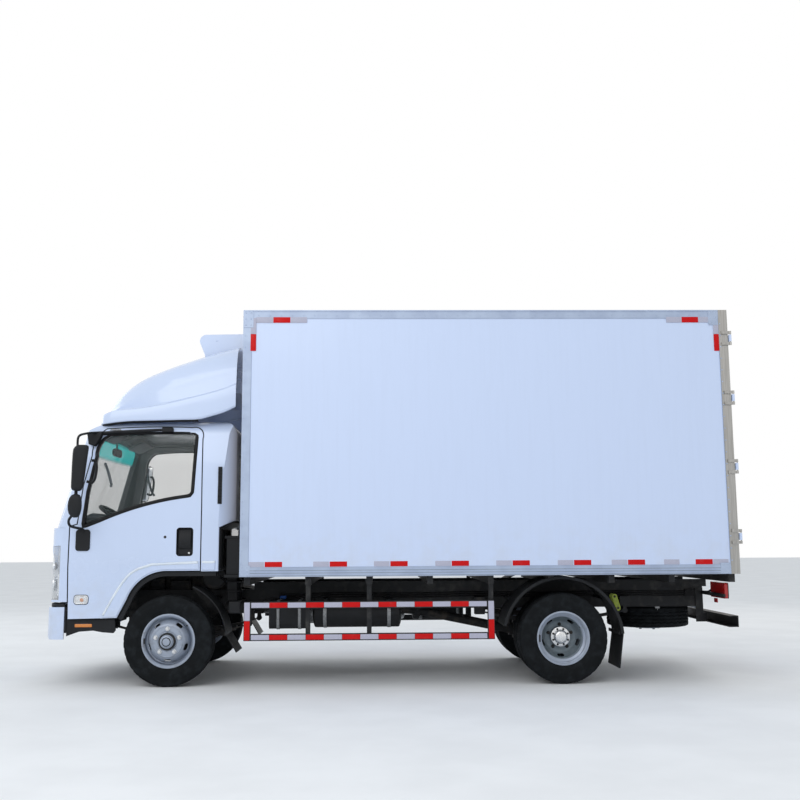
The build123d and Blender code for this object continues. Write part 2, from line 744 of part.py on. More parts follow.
def box_floor():
    """Floor panel between the walls, from the front wall to the rear frame."""
    inside = BOX_HALF_W - TRIM - BOX_WALL
    return block(BOX_FRONT_X + TRIM + BOX_WALL, BOX_REAR_X - REAR_FRAME_LONG, -inside, inside,
                 BOX_Z0, BOX_Z0 + BOX_FLOOR)


def box_front_wall():
    inside = BOX_HALF_W - TRIM - BOX_WALL
    return block(BOX_FRONT_X + TRIM, BOX_FRONT_X + TRIM + BOX_WALL, -inside, inside, BOX_Z0, BOX_Z1 - TRIM - BOX_WALL)


def box_left_wall():
    outside = BOX_HALF_W - TRIM
    return block(BOX_FRONT_X + TRIM, BOX_REAR_X - REAR_FRAME_LONG, -outside, -outside + BOX_WALL,
                 BOX_Z0, BOX_Z1 - TRIM - BOX_WALL)


def box_roof():
    return block(BOX_FRONT_X + TRIM, BOX_REAR_X - REAR_FRAME_LONG, -BOX_HALF_W + TRIM, BOX_HALF_W - TRIM,
                 BOX_Z1 - TRIM - BOX_WALL, BOX_Z1 - TRIM)


REAR_OPEN_Z0 = BOX_Z0 + BOX_FLOOR
REAR_OPEN_Z1 = BOX_Z1 - 92.0
REAR_OPEN_Y = BOX_HALF_W - REAR_POST


def box_rear_frame():
    """Steel door frame at the rear, with a pin and two knuckles for each hinge."""
    x0 = BOX_REAR_X - REAR_FRAME_LONG
    frame = block(x0, BOX_REAR_X, -BOX_HALF_W, BOX_HALF_W, BOX_Z0, BOX_Z1)
    frame -= block(x0 - 1, BOX_REAR_X + 1, -REAR_OPEN_Y, REAR_OPEN_Y, REAR_OPEN_Z0, REAR_OPEN_Z1)
    for side in (-1, 1):
        for z in BOX_HINGE_Z:
            pin = rod_z(BOX_HINGE_X, side * BOX_HINGE_Y, HINGE_PIN_R, z - 62, z + 62)
            for step in (-1, 1):
                z0 = z + step * 36
                z1 = z + step * 62
                pin += rod_z(BOX_HINGE_X, side * BOX_HINGE_Y, HINGE_BARREL_R, z0, z1)
                pin += block(BOX_REAR_X - 60, BOX_HINGE_X, side * BOX_HALF_W, side * (BOX_HINGE_Y + 2),
                             min(z0, z1), max(z0, z1))
            frame += pin
    return frame


BOX_HINGE_Z = [1230.0, 1830.0, 2430.0, 2960.0]
LOCK_BAR_Y = [250.0, 800.0]


def box_door():
    """Left rear door: insulated leaf with its hinge straps, lock bars, guides and handles."""
    x0 = BOX_REAR_X - REAR_FRAME_LONG
    leaf = block(x0, BOX_REAR_X, -REAR_OPEN_Y + RUNNING_GAP, -RUNNING_GAP / 2,
                 REAR_OPEN_Z0 + RUNNING_GAP, REAR_OPEN_Z1 - RUNNING_GAP)
    strap_x0 = BOX_REAR_X + RUNNING_GAP
    strap_x1 = strap_x0 + 8
    edge = REAR_OPEN_Y - RUNNING_GAP
    for z in BOX_HINGE_Z:
        leaf += block(BOX_REAR_X, strap_x0, -edge, -edge + 90, z - 30, z + 30)
        leaf += block(strap_x0, strap_x1, -BOX_HINGE_Y, -edge + 90, z - 30, z + 30)
        leaf += rod_z(BOX_HINGE_X, -BOX_HINGE_Y, HINGE_BARREL_R, z - 30, z + 30)
        leaf -= rod_z(BOX_HINGE_X, -BOX_HINGE_Y, HINGE_PIN_R + PIN_FIT, z - 31, z + 31)
    bar_x = BOX_REAR_X + RUNNING_GAP + LOCK_BAR_R
    for y in LOCK_BAR_Y:
        leaf += rod_z(bar_x, -y, LOCK_BAR_R, BOX_Z0 + 30, BOX_Z1 - 30)
        for z in (REAR_OPEN_Z0 + 160, 1700.0, 2340.0, REAR_OPEN_Z1 - 160):
            leaf += block(BOX_REAR_X, bar_x, -y - 20, -y + 20, z - 18, z + 18)
        leaf += block(bar_x - 4, bar_x + 4, -y + 8, -y + 190 if y < 500 else -y + 190, 1480, 1512)
    return leaf


def box_edge_rails():
    """Aluminium edge profiles along the corners, the roof edge and the ribbed bottom edge."""
    x0 = BOX_FRONT_X
    x1 = BOX_REAR_X - REAR_FRAME_LONG
    outer = block(x0, x1, -BOX_HALF_W, BOX_HALF_W, BOX_Z0, BOX_Z1)
    core = block(x0 + TRIM, x1 + 1, -BOX_HALF_W + TRIM, BOX_HALF_W - TRIM, BOX_Z0 - 1, BOX_Z1 - TRIM)
    shell = outer - core
    panel_z0 = BOX_Z0 + BOTTOM_RAIL
    panel_z1 = BOX_Z1 - TRIM_FACE
    panel_x0 = x0 + TRIM_FACE
    shell -= block(panel_x0, x1 + 1, -BOX_HALF_W - 1, BOX_HALF_W + 1, panel_z0, panel_z1)
    face_y = BOX_HALF_W - TRIM_FACE
    shell -= block(x0 - 1, x0 + TRIM + 1, -face_y, face_y, panel_z0, panel_z1)
    shell -= block(panel_x0, x1 + 1, -face_y, face_y, BOX_Z1 - TRIM - 1, BOX_Z1 + 1)
    for i in range(3):
        z = BOX_Z0 + 10 + i * (BOTTOM_RAIL - 20) / 2.5
        for side in (-1, 1):
            shell += block(x0, x1, side * (BOX_HALF_W - 1), side * (BOX_HALF_W + 4), z, z + RAIL_RIB)
    return shell


def refrigeration_unit():
    """Nose-mounted condensing unit with a rounded housing and two fan rings in its front."""
    back = BOX_FRONT_X + TRIM
    rows = [
        (back, UNIT_Z0),
        (UNIT_FRONT_X + 90, UNIT_Z0),
        (UNIT_FRONT_X + 50, UNIT_Z0 + 50),
        (UNIT_FRONT_X + 43, 2914),
        (UNIT_FRONT_X + 4, 3010),
        (UNIT_FRONT_X + 8, 3085, UNIT_FRONT_X + 60, UNIT_Z1 - 6),
        (back, UNIT_Z1),
    ]
    unit = side_slab(rows, -UNIT_HALF_W, UNIT_HALF_W)
    for y in (-280.0, 280.0):
        unit -= rod_x(y, 2760, 190, UNIT_FRONT_X, UNIT_FRONT_X + 80)
        unit += rod_x(y, 2760, 60, UNIT_FRONT_X + 58, UNIT_FRONT_X + 90)
        for k in range(3):
            bar = block(UNIT_FRONT_X + 52, UNIT_FRONT_X + 60, y - 192, y + 192, 2756, 2764)
            unit += Pos(0, y, 2760) * Rot(k * 60, 0, 0) * Pos(0, -y, -2760) * bar
    return unit


def evaporator():
    """Evaporator housing under the box's roof at the front."""
    x0 = BOX_FRONT_X + TRIM + BOX_WALL
    top = BOX_Z1 - TRIM - BOX_WALL
    rows = [(x0, top), (x0, top - 190), (x0 + 120, top - 190), (x0 + 420, top - 90), (x0 + 420, top)]
    return side_slab(rows, -680, 680)


# Cab

def cab_envelope(inset):
    """The cab's outer form moved in by inset: raked front, tumblehome, crowned roof and stepped back."""
    half = CAB_HALF_W - inset
    corner_y = CORNER_Y - inset
    low_top = SCREEN_BASE_Z
    low = plan_slab(plan_front(CAB_FRONT_X + inset, half, corner_y, NOSE_CROWN, CORNER_DEPTH, 900), 560, low_top)
    lean = math.cos(math.atan(SCREEN_RAKE))
    nose = plan_front((CAB_FRONT_X + inset + COWL_SET) * lean, half, corner_y, NOSE_CROWN * lean, CORNER_DEPTH * lean, 1500)
    leaning = Plane(origin=(0, 0, low_top), x_dir=(1, 0, -SCREEN_RAKE), z_dir=(SCREEN_RAKE, 0, 1))
    high = leaning * (Pos(0, 0, -600) * extrude(outline(nose), amount=2300))
    high &= block(-1300, 1600, -1100, 1100, low_top, 2500)
    body = low + high
    roof = CAB_ROOF_Z - inset
    roof_y = CAB_ROOF_HALF_W - inset
    section = [
        (-half, 500),
        (half, 500),
        (half, 1380),
        (half - 18, 1760, roof_y + 12, 2120),
        (roof_y - 30, 2218 - inset, roof_y - 150, roof - 22),
        (0, roof, 150 - roof_y, roof - 22),
        (30 - roof_y, 2218 - inset, -roof_y - 12, 2120),
        (18 - half, 1760, -half, 1380),
    ]
    body &= front_slab(section, -1300, 900)
    back = CAB_BACK_X - inset
    back_low = CAB_BACK_LOW_X - inset
    step = CAB_BACK_STEP_Z + inset
    profile = [
        (CAB_FRONT_X + inset + 22, 560),
        (back_low, 560),
        (back_low, step - 60),
        (back, step),
        (back, 2130),
        (back - 18, 2215 - inset, back - 130, roof - 14),
        (-200, roof, -560, roof - 18),
        (-690, 2222 - inset, -800 + 1.2 * inset, 2150),
        (CAB_FRONT_X + inset + COWL_SET, SCREEN_BASE_Z - 10),
        (CAB_FRONT_X + inset, 1200),
        (CAB_FRONT_X + inset, 1000),
    ]
    body &= side_slab(profile, -1000, 1000)
    rear_plan = [
        (-1300, -1000),
        (back - 125, -1000),
        (back - 125, -half),
        (back - 30, -half + 95, back, -half + 250),
        (back, half - 250),
        (back - 30, half - 95, back - 125, half),
        (back - 125, 1000),
        (-1300, 1000),
    ]
    body &= plan_slab(rear_plan, 500, 2400)
    return body


# Door edge, X and Z, clockwise from the lower front corner
DOOR_EDGE = [
    (-850, 570),
    (-862, 1000),
    (-860, 1345),
    (-798, 1364),
    (-790, 1420),
    (-760, 1700),
    (-702, 1960),
    (-676, 2095, -596, 2196),
    (-230, 2212, 150, 2206),
    (222, 2190, 243, 2110),
    (254, 1500),
    (255, 968),
    (-30, 968),
    (-262, 880, -362, 730),
    (-440, 577),
]
WINDOW_EDGE = [
    (-748, 1350),
    (-718, 1640),
    (-660, 1950),
    (-640, 2060, -560, 2140),
    (-180, 2160, 150, 2156),
    (184, 2148, 190, 2110),
    (170, 1640),
    (150, 1612),
    (-180, 1552, -606, 1405),
]


# Raised band round the wheel arch, on the door and on the corner panel behind it
FLARE_RISE = 7.0
DOOR_FLARE = [
    (-577, 572),
    (-499, 726),
    (-412, 843, -337, 936),
    (-250, 1022, -110, 1040),
    (252, 1042),
    (253, 970),
    (-30, 970),
    (-262, 882, -361, 732),
    (-439, 579),
]
CORNER_FLARE = [(267, 964), (392, 964), (392, 1040), (267, 1042)]
CORNER_VENT = (393.0, 432.0, 1534.0, 1859.0)
SEAM_DEPTH = 6.0
HANDLE_RECESS = (52.0, 190.0, 1094.0, 1331.0)
HANDLE_DEPTH = 26.0


def arch_flare(rows):
    """Left side's raised band with sloped edges, rooted a little way into the skin."""
    band = extrude(Plane.XZ * outline(rows), amount=FLARE_RISE + 4, taper=45)
    return Pos(0, -CAB_HALF_W + 4, 0) * band


def side_prism(rows, side):
    return side_slab(rows, side * 780, side * 1020)


def grown(rows, gap):
    """The outline's face pushed outward by gap."""
    return offset(outline(rows), amount=gap, kind=Kind.INTERSECTION)


def door_opening(side):
    solid = extrude(Plane.XZ * grown(DOOR_EDGE, DOOR_GAP), amount=120, both=True)
    return Pos(0, side * 900, 0) * solid


SCREEN_EDGE = [
    (-868, 1400),
    (0, 1372, 868, 1400),
    (815, 2090),
    (800, 2128, 750, 2140),
    (0, 2158, -750, 2140),
    (-800, 2128, -815, 2090),
]
REAR_WINDOW = (620.0, 1560.0, 1990.0)
LAMP_BACK_X = -934.0
LAMP_EDGE = [(610, 738), (1000, 728), (1000, 1188), (905, 1180), (800, 1040, 640, 960)]
GRILLE_EDGE = [(-560, 760), (560, 760), (590, 1000), (-590, 1000)]


def cab_shell():
    """The cab's whole skin before it is split into panels."""
    shell = cab_envelope(0) - cab_envelope(CAB_SKIN)
    shell -= block(-1300, -400, -1000, 1000, 500, CAB_SILL_Z)
    shell -= block(-401, 900, -1000, 1000, 500, CAB_REAR_SILL_Z)
    return shell


SHELL = cab_shell()


def hinge_arm(z):
    """Left door hinge on the front panel: a cranked arm round the door's inner edge to a knuckle and its pin."""
    inside = CAB_HALF_W - CAB_SKIN
    rear = DOOR_HINGE_X + DOOR_KNUCKLE_R
    low = z - DOOR_KNUCKLE_HALF
    high = z + DOOR_KNUCKLE_HALF
    arm = block(-895, rear, -inside, -inside + 24, low, high)
    arm += block(DOOR_HINGE_X - DOOR_KNUCKLE_R, rear, -DOOR_HINGE_Y, -inside + 24, low, high)
    arm += rod_z(DOOR_HINGE_X, -DOOR_HINGE_Y, DOOR_KNUCKLE_R, low, high)
    arm += rod_z(DOOR_HINGE_X, -DOOR_HINGE_Y, DOOR_PIN_R, low - 18, high + 18)
    return arm


def cab_front():
    """Front panel and screen pillars, with the screen, grille and lamp openings and the door hinges."""
    panel = SHELL & block(-1300, -500, -1000, 1000, 500, ROOF_SPLIT_Z)
    panel -= front_slab(SCREEN_EDGE, -1300, -500)
    panel -= door_opening(-1)
    panel -= door_opening(1)
    panel -= front_slab(GRILLE_EDGE, -1300, -1000)
    lamp = front_slab(LAMP_EDGE, -1300, LAMP_BACK_X)
    panel -= lamp
    panel -= other_side(lamp)
    for z in DOOR_HINGE_Z:
        arm = hinge_arm(z)
        panel += arm
        panel += other_side(arm)
    return panel


def cab_roof():
    """Roof panel down to the rain gutters over the doors."""
    panel = SHELL & block(-1300, 900, -1000, 1000, ROOF_SPLIT_Z, 2400)
    panel -= door_opening(-1)
    panel -= door_opening(1)
    return panel


def cab_rear():
    """Back wall, rear corner panels and door pillars, with the rear window and the tunnel's mouth."""
    panel = SHELL & block(0, 900, -1000, 1000, 500, ROOF_SPLIT_Z)
    panel -= door_opening(-1)
    panel -= door_opening(1)
    half, z0, z1 = REAR_WINDOW
    panel -= block(CAB_BACK_X - 100, CAB_BACK_X + 10, -half, half, z0, z1)
    band = arch_flare(CORNER_FLARE)
    panel += band
    panel += other_side(band)
    x0, x1, z0, z1 = CORNER_VENT
    seam = block(x1 - 9, x1, -1000, -CAB_HALF_W + SEAM_DEPTH, CAB_BACK_STEP_Z, ROOF_SPLIT_Z)
    recess = block(x0, x1, -1000, -CAB_HALF_W + 14, z0, z1)
    for cut in (seam, recess):
        panel -= cut
        panel -= other_side(cut)
    return panel


def glass_sheet(setback, rows_solid):
    """A sheet GLASS thick that follows the cab's front, set back from it."""
    outer = Pos(setback, 0, 0) * cab_envelope(0)
    return (outer - Pos(GLASS * 1.04, 0, 0) * outer) & rows_solid


def cab_glass():
    """Windscreen in its rebate and the rear window."""
    screen = glass_sheet(10, front_slab(SCREEN_EDGE, -1300, -500))
    half, z0, z1 = REAR_WINDOW
    rear = block(CAB_BACK_X - 30, CAB_BACK_X - 30 + GLASS, -half, half, z0, z1)
    return [screen, rear]


FLOOR_T = 30.0
TUNNEL_Y = 420.0
PLATFORM_Z = 995.0
TUNNEL_TOP_Z = 1110.0


# Floor pan at a footwell, front to back: x and z of the lower face, x and z of the upper face
PAN = [
    (CAB_FRONT_X + 20, CAB_SILL_Z + 5, CAB_FRONT_X + 20, CAB_SILL_Z + 5 + FLOOR_T),
    (-470.0, CAB_SILL_Z + 5, -490.0, CAB_SILL_Z + 5 + FLOOR_T),
    (-330.0, 850.0, -355.0, 850.0 + FLOOR_T),
    (-200.0, PLATFORM_Z - FLOOR_T, -215.0, PLATFORM_Z),
    (CAB_BACK_LOW_X - CAB_SKIN, PLATFORM_Z - FLOOR_T, CAB_BACK_LOW_X - CAB_SKIN, PLATFORM_Z),
]
# Tunnel over the engine, front to back, in the same columns
TUNNEL = [
    (CAB_FRONT_X + 20, 830.0, CAB_FRONT_X + 20, 830.0 + FLOOR_T),
    (-560.0, 830.0, -590.0, 830.0 + FLOOR_T),
    (-480.0, TUNNEL_TOP_Z - FLOOR_T, -500.0, TUNNEL_TOP_Z),
    (CAB_BACK_LOW_X - CAB_SKIN, TUNNEL_TOP_Z - FLOOR_T, CAB_BACK_LOW_X - CAB_SKIN, TUNNEL_TOP_Z),
]
WEB_T = 20.0


def cab_floor():
    """Stepped floor: pressed panels for the footwells, risers and seat platforms, the engine tunnel, the tilt lugs."""
    panels = []
    for (x0, z0, u0, v0), (x1, z1, u1, v1) in zip(PAN, PAN[1:]):
        panels += both_sides(side_slab([(x0, z0), (x1, z1), (u1, v1), (u0, v0)], -900, -TUNNEL_Y + WEB_T))
    for (x0, z0, u0, v0), (x1, z1, u1, v1) in zip(TUNNEL, TUNNEL[1:]):
        panels.append(side_slab([(x0, z0), (x1, z1), (u1, v1), (u0, v0)], -TUNNEL_Y, TUNNEL_Y))
    pan = [row[2:] for row in PAN]
    roof = [row[:2] for row in TUNNEL]
    webs = [
        [pan[0], pan[1], roof[1], roof[0]],
        [pan[1], pan[2], roof[2], roof[1]],
        [pan[2], pan[3], roof[2]],
        [pan[3], pan[4], roof[3], roof[2]],
    ]
    for rows in webs:
        panels += both_sides(side_slab(rows, -TUNNEL_Y, -TUNNEL_Y + WEB_T))
    inside = cab_envelope(CAB_SKIN)
    panels = [panel & inside for panel in panels]
    under = CAB_SILL_Z + 5
    lug_rows = [(TILT_PIVOT_X - 22, TILT_PIVOT_Z), (TILT_PIVOT_X, TILT_PIVOT_Z - 22), (TILT_PIVOT_X + 40, 650),
                (-920, 690), (-920, under), (-985, under), (TILT_PIVOT_X + 20, 668), (TILT_PIVOT_X, 662)]
    lug = side_slab(lug_rows, -TUNNEL_Y, -RAIL_OUT_Y - 12)
    lug += block(-985, -920, -TUNNEL_Y - 20, -RAIL_OUT_Y - 12, under - 20, under)
    lug -= rod_y(TILT_PIVOT_X, TILT_PIVOT_Z, TILT_TUBE_R + PIN_FIT, -600, -300)
    return panels + both_sides(lug)


# Wheel arch under the door, x, z and the direction from it towards the wheel
ARCH = [
    (-441, 575, 0.89, -0.45),
    (-362, 730, 0.87, -0.49),
    (-262, 880, 0.62, -0.78),
    (-30, 968, 0.0, -1.0),
]
ARCH_LIP = 36.0


def cab_arches():
    """Black wheel-arch lip under each side of the cab."""
    def edge(gap):
        return [(x + gap * nx, z + gap * nz) for x, z, nx, nz in ARCH]
    low = edge(DOOR_GAP)
    inner = edge(DOOR_GAP + ARCH_LIP)
    rear_x = CAB_BACK_LOW_X - 20
    rows = [
        low[0],
        low[1],
        low[2] + low[3],
        (DOOR_EDGE[11][0] + DOOR_GAP, low[3][1]),
        (DOOR_EDGE[11][0] + DOOR_GAP, CAB_REAR_SILL_Z),
        (rear_x, CAB_REAR_SILL_Z),
        (rear_x, inner[3][1]),
        inner[3],
        inner[2] + inner[1],
        inner[0],
    ]
    lip = side_slab(rows, -955, -903)
    return both_sides(lip)


def grille():
    """Dark grille with four bars set in the front panel's opening."""
    frame = (Pos(14, 0, 0) * cab_envelope(0) - Pos(32, 0, 0) * cab_envelope(0)) & front_slab(GRILLE_EDGE, -1300, -950)
    for z in (800.0, 850.0, 900.0, 950.0):
        frame -= block(-1300, -900, -520, 520, z, z + 26)
    return frame


def head_lamps():
    """Lamp in each front corner."""
    lens = (Pos(5, 0, 0) * cab_envelope(0) - Pos(45, 0, 0) * cab_envelope(0)) & front_slab(LAMP_EDGE, -1300, LAMP_BACK_X)
    return both_sides(lens)


def cab_door():
    """Left door: outer skin and trim in one leaf, with the window opening and the handle recess."""
    leaf = (cab_envelope(0) - cab_envelope(DOOR_THICK)) & side_prism(DOOR_EDGE, -1)
    leaf -= side_prism(WINDOW_EDGE, -1)
    leaf += arch_flare(DOOR_FLARE)
    x0, x1, z0, z1 = HANDLE_RECESS
    recess = block(x0, x1, -1000, -CAB_HALF_W + HANDLE_DEPTH, z0, z1)
    leaf -= fillet(recess.edges().filter_by(Axis.Y), 24)
    rear = DOOR_HINGE_X + DOOR_KNUCKLE_R + RUNNING_GAP
    half = DOOR_KNUCKLE_HALF + RUNNING_GAP
    for z in DOOR_HINGE_Z:
        leaf -= block(-900, rear, -CAB_HALF_W + DOOR_OUTER_SKIN, -880, z - half, z + half)
        leaf -= rod_z(DOOR_HINGE_X, -DOOR_HINGE_Y, DOOR_PIN_R + PIN_FIT, z - half - 14, z + half + 14)
    return leaf


def door_glass():
    """Side window in the middle of the leaf."""
    outer = Pos(0, 20, 0) * cab_envelope(0)
    sheet = (outer - Pos(0, GLASS, 0) * outer) & side_prism(WINDOW_EDGE, -1)
    return sheet


# Main mirror head in side view
MIRROR_EDGE = [
    (-806, 1672),
    (-798, 1646, -775, 1640),
    (-722, 1640),
    (-698, 1648, -690, 1674),
    (-648, 1985),
    (-652, 2018, -684, 2030),
    (-762, 2030),
    (-798, 2018, -806, 1978),
]
MIRROR_Y0 = -1228.0
MIRROR_Y1 = -1136.0
MIRROR_ARM_R = 11.0


def door_mirrors():
    """Main and wide-angle mirror heads on one bent arm from the door's front edge."""
    main = side_slab(MIRROR_EDGE, MIRROR_Y0, MIRROR_Y1)
    main = fillet(main.faces().sort_by(Axis.Y)[0].edges(), 16)
    small = Pos(-760, MIRROR_Y0 + 6, 1517) * extrude(Plane.XZ * Ellipse(66, 98), amount=-86)
    small = fillet(small.faces().sort_by(Axis.Y)[0].edges(), 22)
    mid_y = (MIRROR_Y0 + MIRROR_Y1) / 2
    post = pipe([(-600, -925, 2165), (-690, -1040, 2150), (-765, mid_y, 2095), (-770, mid_y, 1400),
                 (-790, -1110, 1352), (-752, -1000, 1330), (-742, -980, 1290)], MIRROR_ARM_R, 18)
    foot = block(-806, -682, -CAB_HALF_W - 14, -CAB_HALF_W, 1140, 1320)
    foot = fillet(foot.edges().filter_by(Axis.Y), 26)
    post -= block(-900, -600, -CAB_HALF_W, -900, 1100, 1400)
    top_foot = block(-650, -550, -940, -880, 2150, 2192) - cab_envelope(-PIN_FIT)
    return main + small + post + foot + top_foot


def seats():
    """Driver's, middle and passenger's seat, each a cushion and a back."""
    pieces = []
    for y, width in ((-645.0, 440.0), (0.0, 400.0), (645.0, 440.0)):
        base = (TUNNEL_TOP_Z if y == 0 else PLATFORM_Z) + PIN_FIT
        top = base + (110 if y == 0 else 150)
        cushion = side_slab([(-300, base), (220, base), (220, top - 30), (-250, top), (-300, top - 30)],
                            y - width / 2, y + width / 2)
        back = side_slab([(205, top - 60), (290, top - 60), (385, 1850), (300, 1870), (250, 1800)],
                         y - width / 2 + 10, y + width / 2 - 10)
        pieces.append(cushion + back)
    return pieces


def dashboard():
    """Instrument panel across the cab, seated against the front panel."""
    rows = [(-1040, 1120), (-780, 1090), (-660, 1180), (-650, 1330), (-700, 1385), (-860, 1392), (-1040, 1340)]
    return side_slab(rows, -900, 900) & cab_envelope(CAB_SKIN + PIN_FIT)


WHEEL_TILT = 32.0
WHEEL_X = -520.0
WHEEL_Y = -620.0
WHEEL_Z = 1420.0


HUB_HALF = 15.0


def column():
    """Column tube from under the instrument panel up to just below the wheel's hub."""
    def below(distance):
        tilt = math.radians(WHEEL_TILT)
        return (WHEEL_X - distance * math.sin(tilt), WHEEL_Y, WHEEL_Z - distance * math.cos(tilt))
    return rod_between(below(415), below(HUB_HALF + PIN_FIT), 32)


def steering_wheel():
    """Rim, hub and three spokes, square to the column."""
    rim = Torus(210, 14)
    hub = Cylinder(55, 2 * HUB_HALF)
    wheel_part = rim + hub
    for k in range(3):
        spoke = Pos(125, 0, 0) * Box(170, 26, 12)
        wheel_part += Rot(0, 0, 90 + k * 120) * spoke
    return Pos(WHEEL_X, WHEEL_Y, WHEEL_Z) * Rot(0, WHEEL_TILT, 0) * wheel_part


# Fairing

# x, half width at the foot, height of the crown, shoulder radius
FAIRING_SECTIONS = [
    (FAIRING_FRONT_X, 640.0, 2290.0, 50.0),
    (FAIRING_FRONT_X + 160, 770.0, 2450.0, 130.0),
    (FAIRING_FRONT_X + 530, 880.0, 2700.0, 190.0),
    (FAIRING_REAR_X, FAIRING_HALF_W, FAIRING_TOP_Z, 210.0),
]
FAIRING_LEAN = 12.0


def fairing_form(inset, shift):
    """Lofted form of the roof fairing moved in by inset: a rising hood with rounded shoulders."""
    faces = []
    for x, foot, crown, shoulder in FAIRING_SECTIONS:
        half = foot - inset
        top = crown - inset
        wall = half - FAIRING_LEAN
        flat = wall - 1.35 * shoulder
        rows = [
            (half, 2150),
            (wall, top - shoulder),
            (wall - 0.38 * shoulder, top - 0.30 * shoulder, flat, top),
            (0, top + 25, -flat, top),
            (0.38 * shoulder - wall, top - 0.30 * shoulder, -wall, top - shoulder),
            (-half, 2150),
        ]
        place = x + shift if x == FAIRING_FRONT_X else x
        faces.append(Pos(place, 0, 0) * (Plane.YZ * outline(rows)))
    return loft(faces)


def fairing():
    """Hollow roof fairing, open behind, with its top cut away round the refrigeration unit."""
    skin = fairing_form(0, 0) - fairing_form(FAIRING_SKIN, FAIRING_SKIN)
    under = side_slab([(-1000, 1400), (FAIRING_REAR_X + 10, 1400), (FAIRING_REAR_X + 10, 2392), (337, 2326),
                       (205, 2286), (-600, 2236), (-1000, 2200)], -1100, 1100)
    skin -= under
    skin -= cab_envelope(-PIN_FIT)
    skin -= block(60, FAIRING_REAR_X + 300, -UNIT_HALF_W - 25, UNIT_HALF_W + 25, 2300, 3300)
    return skin


PARTS = {
    "frame_rails": frame_rails,
    "crossmembers": crossmembers,
    "front_axle": front_axle,
    "rear_axle": rear_axle,
    "leaf_springs": leaf_springs,
    "engine_block": lambda: [engine_block(), propshaft()],
    "exhaust": exhaust,
    "side_tanks": lambda: side_tanks() + battery_box(),
    "spare_tyre": spare_wheel,
    "spare_carrier": spare_carrier,
    "front_bumper": front_bumper,
    "mudguards": lambda: front_mudguards() + rear_mudguards() + steps(),
    "side_guards": side_guards,
    "underrun_bar": underrun_bar,
    "tail_lamps": tail_lamps,
    "box_base": box_base,
    "box_floor": box_floor,
    "box_front_wall": box_front_wall,
    "box_left_wall": box_left_wall,
    "box_right_wall": lambda: other_side(box_left_wall()),
    "box_roof": box_roof,
    "box_rear_frame": box_rear_frame,
    "box_edge_rails": box_edge_rails,
    "refrigeration_unit": refrigeration_unit,
    "evaporator": evaporator,
    "cab_front": cab_front,
    "cab_roof": cab_roof,
    "cab_rear": cab_rear,
    "cab_floor": cab_floor,
    "cab_glass": cab_glass,
    "cab_trim": lambda: cab_arches() + [grille()],
    "head_lamps": head_lamps,
    "fairing": fairing,
    "seats": seats,
    "dashboard": lambda: dashboard() + column(),
    "steering_wheel": steering_wheel,
    "left_door": cab_door,
    "right_door": lambda: other_side(cab_door()),
    "left_door_glass": door_glass,
    "right_door_glass": lambda: other_side(door_glass()),
    "left_mirrors": door_mirrors,
    "right_mirrors": lambda: other_side(door_mirrors()),
    "left_knuckle": knuckle,
    "right_knuckle": lambda: other_side(knuckle()),
    "tie_rod": tie_rod,
    "front_left_tyre": lambda: tyre(0, -FRONT_TYRE_Y, AXLE_Z, -1),
    "front_right_tyre": lambda: tyre(0, FRONT_TYRE_Y, AXLE_Z, 1),
    "front_left_wheel": front_wheel_metal,
    "front_right_wheel": lambda: other_side(front_wheel_metal()),
    "rear_left_wheels": rear_wheel_metal,
    "rear_right_wheels": lambda: other_side(rear_wheel_metal()),
    "rear_left_tyres": lambda: [tyre(WHEELBASE, -y, AXLE_Z, -1) for y in (REAR_OUTER_TYRE_Y, REAR_INNER_TYRE_Y)],
    "rear_right_tyres": lambda: [tyre(WHEELBASE, y, AXLE_Z, 1) for y in (REAR_OUTER_TYRE_Y, REAR_INNER_TYRE_Y)],
    "rear_left_door": box_door,
    "rear_right_door": lambda: other_side(box_door()),
}


def write(name, made):
    """Writes one node's solids, moved so that X is measured from the middle of the length."""
    pieces = made if isinstance(made, list) else [made]
    solids = [solid for piece in pieces for solid in piece.solids()]
    shape = Compound(children=solids) if len(solids) > 1 else solids[0]
    export_step(Pos(-MID_LENGTH, 0, 0) * shape, f"parts/{name}.step")


os.makedirs("parts", exist_ok=True)
for node, make in PARTS.items():
    write(node, make())
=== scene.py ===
from math import atan2, copysign, cos, dist, hypot, pi, radians, sin, sqrt

import bmesh
import bpy
from bpy.props import FloatProperty, FloatVectorProperty, IntProperty, PointerProperty
from bpy.types import Operator, Panel, PropertyGroup
from mathutils import Matrix, Vector
from mathutils.bvhtree import BVHTree


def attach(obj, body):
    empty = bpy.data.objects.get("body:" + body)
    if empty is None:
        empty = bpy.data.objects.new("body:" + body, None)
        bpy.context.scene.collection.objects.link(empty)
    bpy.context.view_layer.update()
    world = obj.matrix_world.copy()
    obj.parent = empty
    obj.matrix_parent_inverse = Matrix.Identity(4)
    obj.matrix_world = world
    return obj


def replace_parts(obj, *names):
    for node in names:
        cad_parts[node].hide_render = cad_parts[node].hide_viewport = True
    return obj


bl_info = {
    "name": "Refrigerated truck looks",
    "version": (1, 0, 0),
    "blender": (4, 5, 0),
    "location": "3D View > Sidebar > Truck",
    "description": "Dresses a packed refrigerated truck with its finishes, trim and small parts",
    "category": "Object",
}

